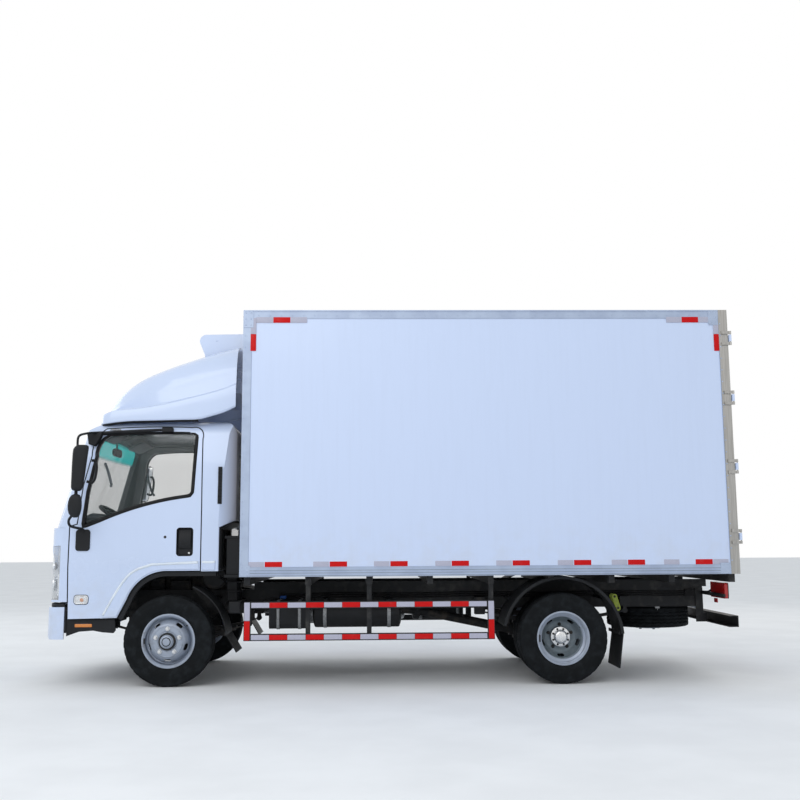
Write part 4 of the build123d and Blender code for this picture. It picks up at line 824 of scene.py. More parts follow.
class TRUCK_OT_tyres(Step, Operator):
    """Tyres with ribs, zigzag grooves and moulded walls."""
    bl_idname = "truck.tyres"
    bl_label = "Tyres"

    STEPS = 180
    OUTER = 380.0
    SHOULDER = 79.0
    # radius and distance from the middle, from the tread down to the bead
    WALL = [
        (373, 84), (362, 90), (346, 93), (340, 92.4), (336, 93.6), (318, 95), (293, 95), (276, 94),
        (270, 92.4), (264, 92), (252, 88), (243, 83), (238, 82.6), (234, 80), (228, 77), (222, 75.5),
        (214, 66), (206.4, 61),
    ]
    GROOVES = (-46.0, -16.0, 16.0, 46.0)
    ACROSS = 30

    def tread(self, k, depth):
        """Points across the tread at one step round the tyre."""
        points = []
        sway = 5.0 * (abs((2 * k / self.STEPS * 36) % 2 - 1) * 2 - 1)
        for i in range(self.ACROSS + 1):
            across = self.SHOULDER * (2 * i / self.ACROSS - 1)
            near = min(abs(across - g - sway) for g in self.GROOVES)
            crown = 3.0 * (across / self.SHOULDER) ** 2
            lug = depth * 0.6 if abs(across) > 66 and k % 5 == 0 else 0.0
            drop = depth * max(0.0, min(1.0, (6.5 - near) / 2.5))
            points.append((self.OUTER - crown - max(drop, lug), across))
        return points

    def build(self, x, y, z=AXLE_Z, flat=False):
        depth = sizes().tread_depth / MM
        rings = []
        for k, (c, s) in enumerate(circle(1.0, self.STEPS)):
            section = [(r, -w) for r, w in reversed(self.WALL)] + self.tread(k, depth) + self.WALL
            rings.append([(x + r * c, y + r * s, z + w) if flat else (x + r * c, y + w, z + r * s)
                          for r, w in section])
        return Form().skin(rings, along=True, caps=False)

    def make(self):
        for side, word in SIDES:
            front = self.build(0, side * FRONT_TRACK)
            piece = front.show(f"front_{word}_tyre_tread", f"front_{word}_wheel", "tyre", "tyre_rubber",
                               smooth=40)
            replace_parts(piece, f"front_{word}_tyre")
            twins = self.build(WHEELBASE, side * TWIN_OUTER).join(self.build(WHEELBASE, side * TWIN_INNER))
            piece = twins.show(f"rear_{word}_tyre_treads", f"rear_{word}_wheels", "tyre", "tyre_rubber",
                               smooth=40)
            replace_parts(piece, f"rear_{word}_tyres")
        spare = self.build(SPARE_X, 0, 498, flat=True)
        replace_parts(spare.show("spare_tyre_tread", "chassis", "tyre", "tyre_rubber", smooth=40), "spare_tyre")


WINDOW_EDGE = [
    (-748, 1350), (-718, 1640), (-660, 1950), (-640, 2060, -560, 2140), (-180, 2160, 150, 2156),
    (184, 2148, 190, 2110), (170, 1640), (150, 1612), (-180, 1552, -606, 1405),
]
DOOR_EDGE = [
    (-850, 570), (-862, 1000), (-860, 1345), (-798, 1364), (-790, 1420), (-760, 1700), (-702, 1960),
    (-676, 2095, -596, 2196), (-230, 2212, 150, 2206), (222, 2190, 243, 2110), (254, 1500), (255, 968),
    (-30, 968), (-262, 880, -362, 730), (-440, 577),
]
DOOR_GAP = 10.0


def cab_half(z):
    """Half width of the cab at a height: upright below the waist, then leaning in."""
    if z <= 1380:
        return 975.0
    if z > 2120:
        return 917 - (z - 2120) * 0.24 - ((z - 2120) / 76) ** 2 * 14
    centre_y, centre_z, radius = -4889.3, 1292.6, 5864.95
    return centre_y + sqrt(radius ** 2 - (z - centre_z) ** 2)


def cab_side(side):
    """Places a point on one side of the cab's smooth form, whatever openings are cut there."""
    return lambda x, z, lift: (x, side * (cab_half(z) + lift), z)


class TRUCK_OT_window_seals(Step, Operator):
    """Rubber and a hood round each side window, ridges over the wheel arch and a seal round each cab door."""
    bl_idname = "truck.window_seals"
    bl_label = "Door and window seals"

    DOOR_ARCH = [
        (-556, 600), (-500, 700), (-438, 812, -372, 906), (-318, 958, -250, 992), (-150, 1022), (238, 1038),
    ]
    CORNER_ARCH = [(272, 1040), (386, 1040)]

    def ridges(self, side, word):
        """The raised line over the wheel arch, on the door and on the corner behind it, in a lighter white that
        paints its highlight.
        """
        skin = Surface(f"{word}_door", "cab_rear")
        for name, body, rows in (("door", f"{word}_cab_door", self.DOOR_ARCH),
                                 ("corner", "cab", self.CORNER_ARCH)):
            ridge = bead(curve(rows, 18.0, closed=False), 22, 8.0, lambda x, z,
                         lift: skin.side(x, z, lift, side),
                         closed=False, crown=(0.0, 0.4, 1.0, 0.4, 0.0))
            ridge.show(f"{word}_{name}_arch_ridge", body, "cab_paint", "ridge_highlight_paint", thick=0.8)

    def make(self):
        width = sizes().seal_width / MM
        for side, word in SIDES:
            place = cab_side(side)
            door = f"{word}_cab_door"
            seal = bead(shifted(curve(WINDOW_EDGE, 22.0), width * 0.18), width, 5.0, place)
            seal.show(f"{word}_window_seal", door, "black_plastic", "seal_rubber", thick=1.0)
            brow = [(x, 2150 + 14 * min(1, (x + 700) / 160) - 5 * max(0, (x - 60) / 100))
                    for x in range(-690, 160, 25)]
            hood = bead(brow, 34, 13.0, place, closed=False, crown=(0.0, 0.35, 0.8, 1.0, 0.2))
            hood.show(f"{word}_window_hood", door, "black_plastic", thick=1.5)
            self.ridges(side, word)
            sunk = bead(shifted(curve(DOOR_EDGE, 25.0), DOOR_GAP / 2), DOOR_GAP - 2.5, 2.0,
                        lambda x, z, lift: place(x, z, lift - 16))
            sunk.show(f"{word}_door_gap_seal", "cab", "black_plastic", "seal_rubber", thick=1.0)


class TRUCK_OT_door_fittings(Step, Operator):
    """Door handle in its black tray, key barrel, side lamp with its chrome rim and bulb."""
    bl_idname = "truck.door_fittings"
    bl_label = "Door fittings"

    TRAY = (52, 190, 1094, 1331)
    LAMP = (-803, -684, 692, 768)

    def handle(self, side, word, door):
        x0, x1, z0, z1 = self.TRAY
        rim = rounded(x0 + 0.5, x1 - 0.5, z0 + 0.5, z1 - 0.5, 24)
        tray = Form().plate(rim, (-975.9, 3.5), -976.2, (-972, -2), (-951.5, -9), caps=False)
        tray.faces.append(tuple(range(len(tray.points) - len(rim), len(tray.points))))
        tray.on(side).show(f"{word}_handle_tray", door, "black_plastic")
        rings = []
        for k in range(9):
            t = k / 8
            z = z0 + 62 + (z1 - z0 - 80) * t
            bulge = 15 * sin(pi * min(1.0, t * 1.25)) ** 0.6
            rings.append([(x, -953 - bulge - y, z) for x, y in rounded(x0 + 16, x1 - 16, 0, 12, 5, 3)])
        Form().skin(rings).on(side).show(f"{word}_door_handle", door, "black_plastic", bevel=2)
        barrel = Form().turned([(0, 952), (9, 952), (10, 957), (8, 960), (0, 960)], (156, 0, 1117), side=-1,
                               steps=24)
        barrel.on(side).show(f"{word}_handle_lock", door, "edge_trim", "bright_steel")
        keyhole = Form().turned([(0, 973), (11, 973), (12, 976.5), (9, 977.6), (0, 977.4)], (-48, 0, 1254),
                                side=-1, steps=24)
        keyhole.on(side).show(f"{word}_keyhole", door, "cast_dark")

    def lamp(self, side, word, door):
        edge = rounded(*self.LAMP, 22)

        def face(x, z, lift):
            return (x, DOOR_Y - lift, z)

        # A rubber gasket round the lamp, black so that it also paints the shade in the seam between the lamp
        # and the door.
        gasket = bead(shifted(edge, 1), 5, 1.5, face)
        gasket.on(side).show(f"{word}_side_lamp_gasket_shade", door, "black_plastic", "seal_rubber", thick=0.6)
        bezel = bead(shifted(edge, -6), 12, 7.0, face)
        bezel.on(side).show(f"{word}_side_lamp_rim", door, "edge_trim", "reflector_chrome", thick=1.0)
        dish = Form().plate(edge, (-976.4, -8), (-975.8, -8))
        dish.on(side).show(f"{word}_side_lamp_dish", door, "edge_trim", "reflector_chrome")
        bulb = Form().turned([(0, 976), (15, 976), (15, 980), (10, 984), (0, 986)], (-738, 0, 728), side=-1,
                             steps=24)
        bulb.on(side).show(f"{word}_side_lamp_bulb", door, "lamp_lens", "amber_lens")
        lens = Form().plate(edge, (-977, -9), (-984, -12), (-988, -22))
        lens.on(side).show(f"{word}_side_lamp_lens", door, "lamp_lens", "lamp_glass")

    def make(self):
        for side, word in SIDES:
            self.handle(side, word, f"{word}_cab_door")
            self.lamp(side, word, f"{word}_cab_door")


class TRUCK_OT_mirrors(Step, Operator):
    """Mirror heads with their glasses, bent arm, foot, upper bracket and the stay above the window."""
    bl_idname = "truck.mirrors"
    bl_label = "Mirrors"

    # z, front x, rear x of the main head and of the wide-angle head
    MAIN = [
        (1641, -770, -724), (1650, -796, -708), (1674, -805, -693), (1760, -805, -680), (1860, -805, -667),
        (1960, -803, -652), (1995, -799, -649), (2016, -784, -655), (2029, -760, -682),
    ]
    SMALL = [
        (1419, -775, -744), (1428, -796, -724), (1452, -815, -706), (1485, -824, -697), (1517, -826, -694),
        (1549, -824, -696), (1582, -815, -704), (1606, -797, -722), (1615, -776, -744),
    ]
    OUT, IN = -1227.0, -1108.0
    MID = (OUT + IN) / 2

    def reach(self, front, rear):
        """Half the head's width across the truck, less where the section is short."""
        return (self.IN - self.OUT) / 2 * min(1.0, 0.55 + 0.45 * (rear - front) / 120)

    def head(self, rows):
        """Housing round a column of sections, cut off along the plane of its glass."""
        rings = []
        for z, front, rear in rows:
            ring = []
            for c, s in circle(1.0, 24):
                u = copysign(abs(c) ** 0.55, c)
                v = copysign(abs(s) ** (0.55 if u > 0 else 0.9), s)
                x, y = (front + rear) / 2 + u * (rear - front) / 2, self.MID + v * self.reach(front, rear)
                past = max(0.0, (x - (front + rear) / 2) * 0.63 + (y - self.MID) * 0.77 - 6)
                ring.append((x - past * 0.63, y - past * 0.77, z))
            rings.append(ring)
        return Form().skin(rings)

    def glass(self, rows):
        grid = []
        for z, front, rear in rows[1:-1]:
            reach = self.reach(front, rear) - 10
            half = min((rear - front) / 2 / 0.77, (reach + 10) / 0.63) * 0.86
            grid.append([((front + rear) / 2 + 0.77 * half * s + 5, self.MID - 0.63 * half * s + 6, z)
                         for s in (-0.9, -0.3, 0.3, 0.9)])
        return Form().patch(grid)

    def arms(self):
        form = Form()
        form.hose([(-604, -925, 2166), (-660, -985, 2158), (-720, -1080, 2140), (-762, -1165, 2104),
                   (-768, -1168, 2010)], 10)
        form.tube([(-765, -1168, 1650), (-765, -1168, 1605)], 14)
        form.hose([(-790, -1168, 1440), (-822, -1150, 1395), (-820, -1110, 1352), (-780, -1040, 1334),
                   (-748, -996, 1324), (-742, -984, 1296)], 11)
        form.hose([(-694, -1120, 1726), (-652, -1105, 1716), (-630, -1095, 1760), (-622, -1090, 1850),
                   (-636, -1095, 1900), (-662, -1105, 1905)], 12)
        return form.hose([(-700, -985, 2146), (-600, -962, 2158), (-465, -948, 2168), (-280, -940, 2178),
                          (-60, -932, 2186)], 13)

    def feet(self):
        bracket = [(-744, 2146), (-648, 2160), (-604, 2168), (-640, 2090), (-676, 2040), (-728, 2056)]
        form = Form().plate(rounded(-808, -686, 1140, 1322, 26), -975.4, -984, (-989, -6))
        form.plate(bracket, -932, -985, (-992, -6))
        return form.plate(rounded(-107, -13, 2165, 2206, 8), -902, -944, (-948, -4))

    def make(self):
        for side, word in SIDES:
            door = f"{word}_cab_door"
            heads = self.head(self.MAIN).join(self.head(self.SMALL)).on(side)
            piece = heads.show(f"{word}_mirror_heads", door, "black_plastic", smooth=50)
            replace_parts(piece, f"{word}_mirrors")
            plates = self.glass(self.MAIN).join(self.glass(self.SMALL)).on(side)
            plates.show(f"{word}_mirror_glass", door, "clear_glass", "mirror_silver", thick=1.5)
            self.arms().on(side).show(f"{word}_mirror_arms", door, "black_plastic", smooth=60)
            self.feet().on(side).show(f"{word}_mirror_feet", door, "black_plastic", bevel=1.5)
            cushion = Form().plate([(-566, 2182), (-465, 2179), (-470, 2194), (-545, 2196)], -936, -915)
            cushion.on(side).show(f"{word}_stay_cushion", door, "edge_trim", "zinc", bevel=3)


class TRUCK_OT_front_face(Step, Operator):
    """Lamp bowls behind the corner lenses, trim strip, bumper ends, wipers, fog lamps and reflectors."""
    bl_idname = "truck.front_face"
    bl_label = "Front face"

    WIPER_Z = 1358
    FOG_Y, FOG_Z = 640, 520

    def plan(self, nose, half, corner, crown=45.0, depth=165.0, back=-880.0):
        """The bumper's curved line seen from above."""
        bend_x = nose + crown + 0.28 * (depth - crown)
        bend_y = corner + 0.74 * (half - corner)
        rows = [(back, -half), (nose + depth, -half), (bend_x, -bend_y, nose + crown, -corner),
                (nose, 0, nose + crown, corner), (bend_x, bend_y, nose + depth, half), (back, half)]
        return curve(rows, 40.0, closed=False)

    def bumper(self):
        line = self.plan(-1065, 966, 842)
        crest = [686 + 13 * min(1.0, max(0.0, (abs(y) - 600) / 150)) for x, y in line]
        strip = Form().patch([[(x, y, 671) for x, y in line], [(x, y, 680) for x, y in line],
                              [(x, y, top) for (x, y), top in zip(line, crest)]])
        strip.show("bumper_top_strip", "chassis", "black_plastic", thick=3)
        ends = Form().plate([(-884, 452), (-867, 452), (-867, 664), (-884, 664)], -955, -925).both()
        ends.show("bumper_end_fillers", "chassis", "black_plastic", bevel=3)

    def lamps(self, side, word, lens):
        grid = []
        for z in range(745, 1181, 29):
            row = [lens.front(side * (640 + 305 * k / 11), z, -44) for k in range(12)]
            if all(row):
                grid.append(row)
        if len(grid) > 1:
            Form().patch(grid).show(f"{word}_lamp_backing", "cab", "edge_trim", "reflector_chrome", thick=1.5)
        bowls = Form()
        for y, z, radius in ((700, 850, 62), (835, 860, 66), (880, 1010, 40)):
            spot = lens.front(side * y, z, -6)
            if spot:
                bowls.turned([(radius, 0), (radius * 0.9, 16), (radius * 0.6, 26), (radius * 0.25, 31),
                              (0.5, 32)],
                             (spot[0], side * y, z), "x", 1, 32, closed=False)
                bowls.turned([(0, -2), (9, 0), (10, 22), (0, 24)], (spot[0] + 6, side * y, z), "x", 1, 16)
        bowls.show(f"{word}_lamp_bowls", "cab", "edge_trim", "reflector_chrome", thick=0.8)

    def wipers(self):
        form = Form()
        glass = Surface("cab_front", "cab_glass")
        reach = 560
        for y in (-520, 120):
            base = glass.front(y, self.WIPER_Z, 6) or (-1030, y, self.WIPER_Z)
            hits = [glass.front(y + reach * 0.16 * k, self.WIPER_Z + 8 + 16 * k, 22) for k in range(1, 6)]
            path = [base] + [hit for hit in hits if hit]
            form.tube(path, [9, 8, 7, 6, 5, 5][:len(path)], 8)
            tip = path[-1]
            blade = [glass.front(tip[1] + s * 55, tip[2] + 6 + abs(s) * 1.5, 9) for s in range(-6, 7)]
            form.tube([p for p in blade if p], 5, 6)
            form.turned([(0, -8), (20, -8), (22, 4), (12, 12), (0, 13)], base, "x", -1, 20)
        form.show("wipers", "cab", "black_plastic", smooth=60)

    def make(self):
        self.bumper()
        lens = Surface("head_lamps")
        for side, word in SIDES:
            self.lamps(side, word, lens)
        self.wipers()
        fogs, rims = Form(), Form()
        for y in (-self.FOG_Y, self.FOG_Y):
            rims.turned([(52, -2), (56, 2), (56, 12), (48, 12), (46, 0)], (-1083, y, self.FOG_Z), "x", 1, 32)
            fogs.turned([(0, -1), (30, 0), (47, 5), (47, 14), (0, 14)], (-1085, y, self.FOG_Z), "x", 1, 32)
        rims.show("fog_lamp_rims", "chassis", "black_plastic")
        fogs.show("fog_lamps", "chassis", "lamp_lens", "lamp_glass")
        reflectors = Form().plate(rounded(-795, -651, 500, 526, 5), -948.3, -953, (-954.5, -3))
        reflectors.both().show("valance_reflectors", "chassis", "red_lens", "amber_lens")


class TRUCK_OT_fairing(Step, Operator):
    """Roof fairing with its low skirt, the hood that rises from it and the cut for the cooling unit."""
    bl_idname = "truck.fairing"
    bl_label = "Fairing"

    # x, half width, foot z, skirt top z, hood half width, crown z, shoulder
    ROWS = [
        (-700, 560, 2262, 2282, 500, 2300, 14), (-690, 680, 2252, 2290, 560, 2318, 20),
        (-672, 800, 2246, 2306, 610, 2350, 34), (-640, 872, 2243, 2326, 650, 2412, 60),
        (-590, 898, 2246, 2346, 690, 2490, 90), (-525, 908, 2254, 2362, 732, 2560, 120),
        (-415, 914, 2264, 2374, 784, 2644, 145), (-298, 920, 2267, 2384, 836, 2706, 165),
        (-160, 926, 2269, 2404, 876, 2762, 185), (-36, 932, 2271, 2430, 900, 2808, 200),
        (60, 937, 2273, 2452, 909, 2842, 210), (207, 944, 2276, 2486, 918, 2890, 215),
        (330, 949, 2306, 2518, 924, 2926, 218), (430, 952, 2336, 2548, 928, 2952, 220),
        (530, 955, 2382, 2590, 931, 2974, 220),
    ]
    CUT_X, CUT_Y = 60, 626

    def half(self, row):
        """The left half of one section, from its foot to the crown's middle."""
        x, wide, foot, skirt, hood, crown, shoulder = row
        keys = [(wide, foot), (wide - 3, (foot + skirt) / 2), (wide - 9, skirt - 10), (wide - 24, skirt),
                ((wide + hood) / 2 - 4, skirt + 5), (hood + 2, skirt + 16),
                (hood - 10, skirt + 16 + (crown - shoulder - skirt) * 0.5), (hood - 22, crown - shoulder),
                (hood - 22 - 0.38 * shoulder, crown - 0.30 * shoulder), (hood - 22 - 1.3 * shoulder, crown),
                ((hood - 22 - 1.3 * shoulder) * 0.5, crown + 19), (0, crown + 25)]
        return smooth_path([(x, -y, z) for y, z in keys], 4)

    def make(self):
        rows = [self.half(row) for row in self.ROWS]
        lanes = [smooth_path(list(lane), 4) for lane in zip(*rows)]
        grid = [list(ring) for ring in zip(*lanes)]
        ahead = [ring for ring in grid if ring[0][0] <= self.CUT_X + 1]
        form = Form().patch(ahead)
        keep = len([point for point in ahead[-1] if -point[1] > self.CUT_Y]) + 1
        behind = [ahead[-1][:keep]] + [ring[:keep] for ring in grid if ring[0][0] > self.CUT_X + 1]
        form.patch([ring[:-1] + [(ring[-2][0], -self.CUT_Y, ring[-2][2] + (-self.CUT_Y - ring[-2][1]) * 0.1)]
                    for ring in behind])
        rear = behind[-1][:-1]
        form.patch([rear, [(x - 3, y + 24, z - 6) for x, y, z in rear]])
        piece = form.both().show("fairing_skin", "cab", "fairing_white", "fairing_paint", smooth=60, thick=7)
        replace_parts(piece, "fairing")
        seal = Form().patch([[(x, y - 1.5, z + 3), (x, y - 3.5, z - 3), (x, y + 1, z - 10),
                              (x, y + 40, z - 14)]
                             for x, y, z in lanes[0] if x < 215])
        seal.both().show("fairing_seal", "cab", "black_plastic", "seal_rubber", thick=1.5)


class TRUCK_OT_cab_rear(Step, Operator):
    """Louvred vents at the cab's rear corners and the dark ribbed cover on its back."""
    bl_idname = "truck.cab_rear"
    bl_label = "Cab rear"

    def make(self):
        vents = Form().box(395, 430, -966, -962, 1536, 1857)
        blade = [(0, 0), (8, 14), (9.5, 13), (1.5, -1)]
        for k in range(11):
            z = 1548 + k * 28
            vents.skin([[(x, y + dy, z + dz) for dy, dz in blade] for x, y in ((396, -972), (429, -971))])
        vents.plate(rounded(394, 431, 1535, 1858, 6), -975.8, -973, caps=False)
        vents.both().show("rear_corner_vents", "cab", "black_plastic")
        upright = ((413.5, -958), (424, -950), (424, -300), (413.5, -300))
        slope = ((415, -956, 1331), (529, -900, 1389), (529, -300, 1389), (415, -300, 1331))
        cover = Form().skin([[(x, y, z) for x, y in upright] for z in (968, 1326)])
        cover.skin([[(x, y, z - drop) for x, y, z in slope] for drop in (3, 11)])
        cover.boxes([(424, 430, y, y + 14, 985, 1310) for y in range(-930, -330, 100)])
        cover.both().show("cab_back_cover", "cab", "black_plastic", bevel=2)


class TRUCK_OT_box_tape(Step, Operator):
    """Red and white reflective tape along the box, at its upper corners and on the side guards."""
    bl_idname = "truck.box_tape"
    bl_label = "Reflective tape"

    LOW_Z = 1015.0
    LENGTH = 147.0
    RED_X = (824, 1372, 1885, 2405, 2923, 3447, 3908, 4488)
    # x0, x1, z0, z1, colour
    CORNERS = (
        (721, 872, 3103, 3153, "white"), (872, 1020, 3103, 3153, "red"), (1020, 1166, 3103, 3153, "white"),
        (676, 724, 3003, 3146, "white"), (676, 724, 2853, 3002, "red"), (4328, 4465, 3103, 3153, "white"),
        (4465, 4612, 3103, 3153, "red"), (4612, 4752, 3103, 3153, "white"), (4742, 4788, 2848, 2998, "red"),
        (4742, 4788, 2999, 3095, "white"),
    )
    # first x, length and number of the strips on each rail of the side guards
    GUARD = (712.0, 153.0, 13)
    GUARD_Y = 1080.0

    def make(self):
        high = sizes().tape_height / MM
        forms = {"red": Form(), "white": Form()}

        def strip(colour, x0, x1, z0, z1, y):
            forms[colour].plate(rounded(x0, x1, z0, z1, 3, 2), -y + 0.6, -y - 0.5, (-y - 0.8, -1))

        z0 = self.LOW_Z - high / 2
        face = BOX_SIDE - 4
        for x in self.RED_X:
            strip("red", x, x + self.LENGTH, z0, z0 + high, face)
            start = x - self.LENGTH + 8 - (132 if x == self.RED_X[-1] else 0)
            strip("white", start, start + self.LENGTH - 14, z0, z0 + high, face)
        last = self.RED_X[-1] + self.LENGTH + 4
        strip("white", last, last + 132, z0, z0 + high, face)
        for x0, x1, low, top, colour in self.CORNERS:
            strip(colour, x0, x1, low, top, BOX_SIDE if x1 < 730 or x0 > 4741 or low > 3100 else face)
        start, length, count = self.GUARD
        for middle in (679.0, 414.0):
            for k in range(count):
                x = start + k * length
                strip("red" if k % 2 else "white", x + 1, x + length - 1, middle - 21, middle + 21,
                      self.GUARD_Y)
        for x in (654.0, 2714.0):
            strip("white", x, x + 47, 551, 702, self.GUARD_Y)
            strip("red", x, x + 47, 391, 548, self.GUARD_Y)
        for colour, slot in (("red", "red_lens"), ("white", "edge_trim")):
            forms[colour].both().show(f"tape_{colour}", "chassis", slot, f"tape_{colour}")


def hexagon(form, x, y, z, radius, depth, side, phase=0.0):
    """A chamfered nut on a washer with the stud's end, standing out along Y from y."""
    ring = circle(radius, 6, phase)
    form.skin([[(x + u * s, y + side * d, z + v * s) for u, v in ring]
               for s, d in ((1.0, 0), (1.0, depth * 0.8), (0.86, depth), (0.4, depth))])
    form.turned([(0, 0), (radius * 1.25, 0), (radius * 1.2, 3), (0, 3)], (x, y, z), side=side, steps=20)
    form.turned([(0, depth * 0.9), (radius * 0.45, depth * 0.9), (radius * 0.42, depth + 7), (0, depth + 8)],
                (x, y, z), side=side, steps=12)


class TRUCK_OT_wheels(Step, Operator):
    """Pressed wheels: rim barrel, disc with five oblong slots, hub and brake drum."""
    bl_idname = "truck.wheels"
    bl_label = "Wheels"

    # radius and distance outward from the rim's middle
    BARREL = [
        (225, 75), (225, 80), (213, 80), (207, 76), (198.7, 67), (198.7, 23), (178.7, 18), (178.7, -26),
        (198.7, -40), (198.7, -67), (213, -80), (225, -80), (225, -75), (219, -75), (205.7, -61),
        (205.7, -34), (185.7, -22), (185.7, 14), (205.7, 32), (205.7, 61), (219, 75),
    ]
    DISC = [
        (179.5, 8), (178, 30), (174, 46), (168, 62), (160, 77), (150, 91), (142, 100), (134, 106),
        (124, 110), (112, 111), (72, 111),
    ]
    FRONT_HUB = [
        (30, -58), (158, -58), (165, -50), (165, 20), (150, 30), (122, 104), (66, 104), (66, 134), (50, 138),
        (46, 156), (30, 163), (1, 164), (1, 146), (30, 146),
    ]
    REAR_HUB = [
        (46, -150), (160, -150), (167, -142), (167, -60), (150, -40), (122, -12), (66, -12), (66, 40),
        (82, 40), (82, 56), (56, 56), (52, 92), (40, 98), (1, 98), (1, 60), (46, 60),
    ]
    RADII = [72, 92, 112, 124, 134, 140] + [144 + 2 * i for i in range(15)] + [175, 178, 179.5]
    STEPS = 240
    # radius of the slots' middle line, their length and width
    SLOT = (158.0, 60.0, 25.0)

    def across(self, radius):
        """Distance of the disc's face from the rim's middle at a radius."""
        for (r0, y0), (r1, y1) in zip(self.DISC, self.DISC[1:]):
            if r1 <= radius <= r0:
                return y0 + (y1 - y0) * (r0 - radius) / (r0 - r1)
        return self.DISC[0][1] if radius > self.DISC[0][0] else self.DISC[-1][1]

    def outside(self, radius, angle):
        """Distance beyond the nearest slot's edge, and the way to that edge."""
        middle, length, width = self.SLOT
        turn = (angle - radians(54)) / radians(72)
        along = (turn - round(turn)) * radians(72) * middle
        u = copysign(max(0.0, abs(along) - (length - width) / 2), along)
        v = radius - middle
        far = hypot(u, v)
        return far - width / 2, (u / far, v / far) if far > 1e-6 else (0, 1)

    def disc(self, centre, side):
        """The disc as a fine grid, left open inside each slot, with the slots' edges drawn smooth."""
        steps = self.STEPS
        radii = self.RADII
        form = Form()
        index = {}
        spots = {}
        cells = []
        for i in range(len(radii) - 1):
            for j in range(steps):
                mid = self.outside((radii[i] + radii[i + 1]) / 2, 2 * pi * (j + 0.5) / steps)[0]
                corners = [(i, j), (i, (j + 1) % steps), (i + 1, (j + 1) % steps), (i + 1, j)]
                for corner in corners:
                    spots.setdefault(corner, set()).add(mid < 0)
                if mid >= 0:
                    cells.append(corners)
        for corners in cells:
            for corner in corners:
                if corner not in index:
                    radius, angle = radii[corner[0]], 2 * pi * corner[1] / steps
                    if len(spots[corner]) == 2:
                        gap, way = self.outside(radius, angle)
                        radius -= gap * way[1]
                        angle -= gap * way[0] / self.SLOT[0]
                    index[corner] = form.add([(centre[0] + radius * cos(angle),
                                               centre[1] + side * self.across(radius),
                                               centre[2] + radius * sin(angle))])[0]
            form.faces.append(tuple(index[corner] for corner in corners))
        return form

    def make(self):
        for side, word in SIDES:
            front = (0, side * FRONT_TRACK, AXLE_Z)
            outer, inner = (WHEELBASE, side * TWIN_OUTER, AXLE_Z), (WHEELBASE, side * TWIN_INNER, AXLE_Z)
            body = f"front_{word}_wheel"
            rims = Form().turned(self.BARREL, front, side=side, steps=96)
            barrel = rims.show(f"front_{word}_rim", body, "wheel_silver", smooth=40)
            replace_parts(barrel, f"front_{word}_wheel")
            self.disc(front, side).show(f"front_{word}_disc", body, "wheel_silver", thick=9)
            hub = Form().turned(self.FRONT_HUB, front, side=side, steps=64)
            hub.show(f"front_{word}_hub", body, "cast_dark", smooth=40)
            body = f"rear_{word}_wheels"
            rims = Form().turned(self.BARREL, outer, side=-side, steps=96)
            rims.turned(self.BARREL, inner, side=side, steps=96)
            barrel = rims.show(f"rear_{word}_rims", body, "wheel_silver", smooth=40)
            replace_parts(barrel, f"rear_{word}_wheels")
            discs = self.disc(outer, -side).join(self.disc(inner, side))
            discs.show(f"rear_{word}_discs", body, "wheel_silver", "grey_and_groove_shade", thick=9)
            hub = Form().turned(self.REAR_HUB, (WHEELBASE, side * TWIN_JOINT, AXLE_Z), side=side, steps=64)
            hub.show(f"rear_{word}_hub_body", body, "cast_dark", smooth=40)


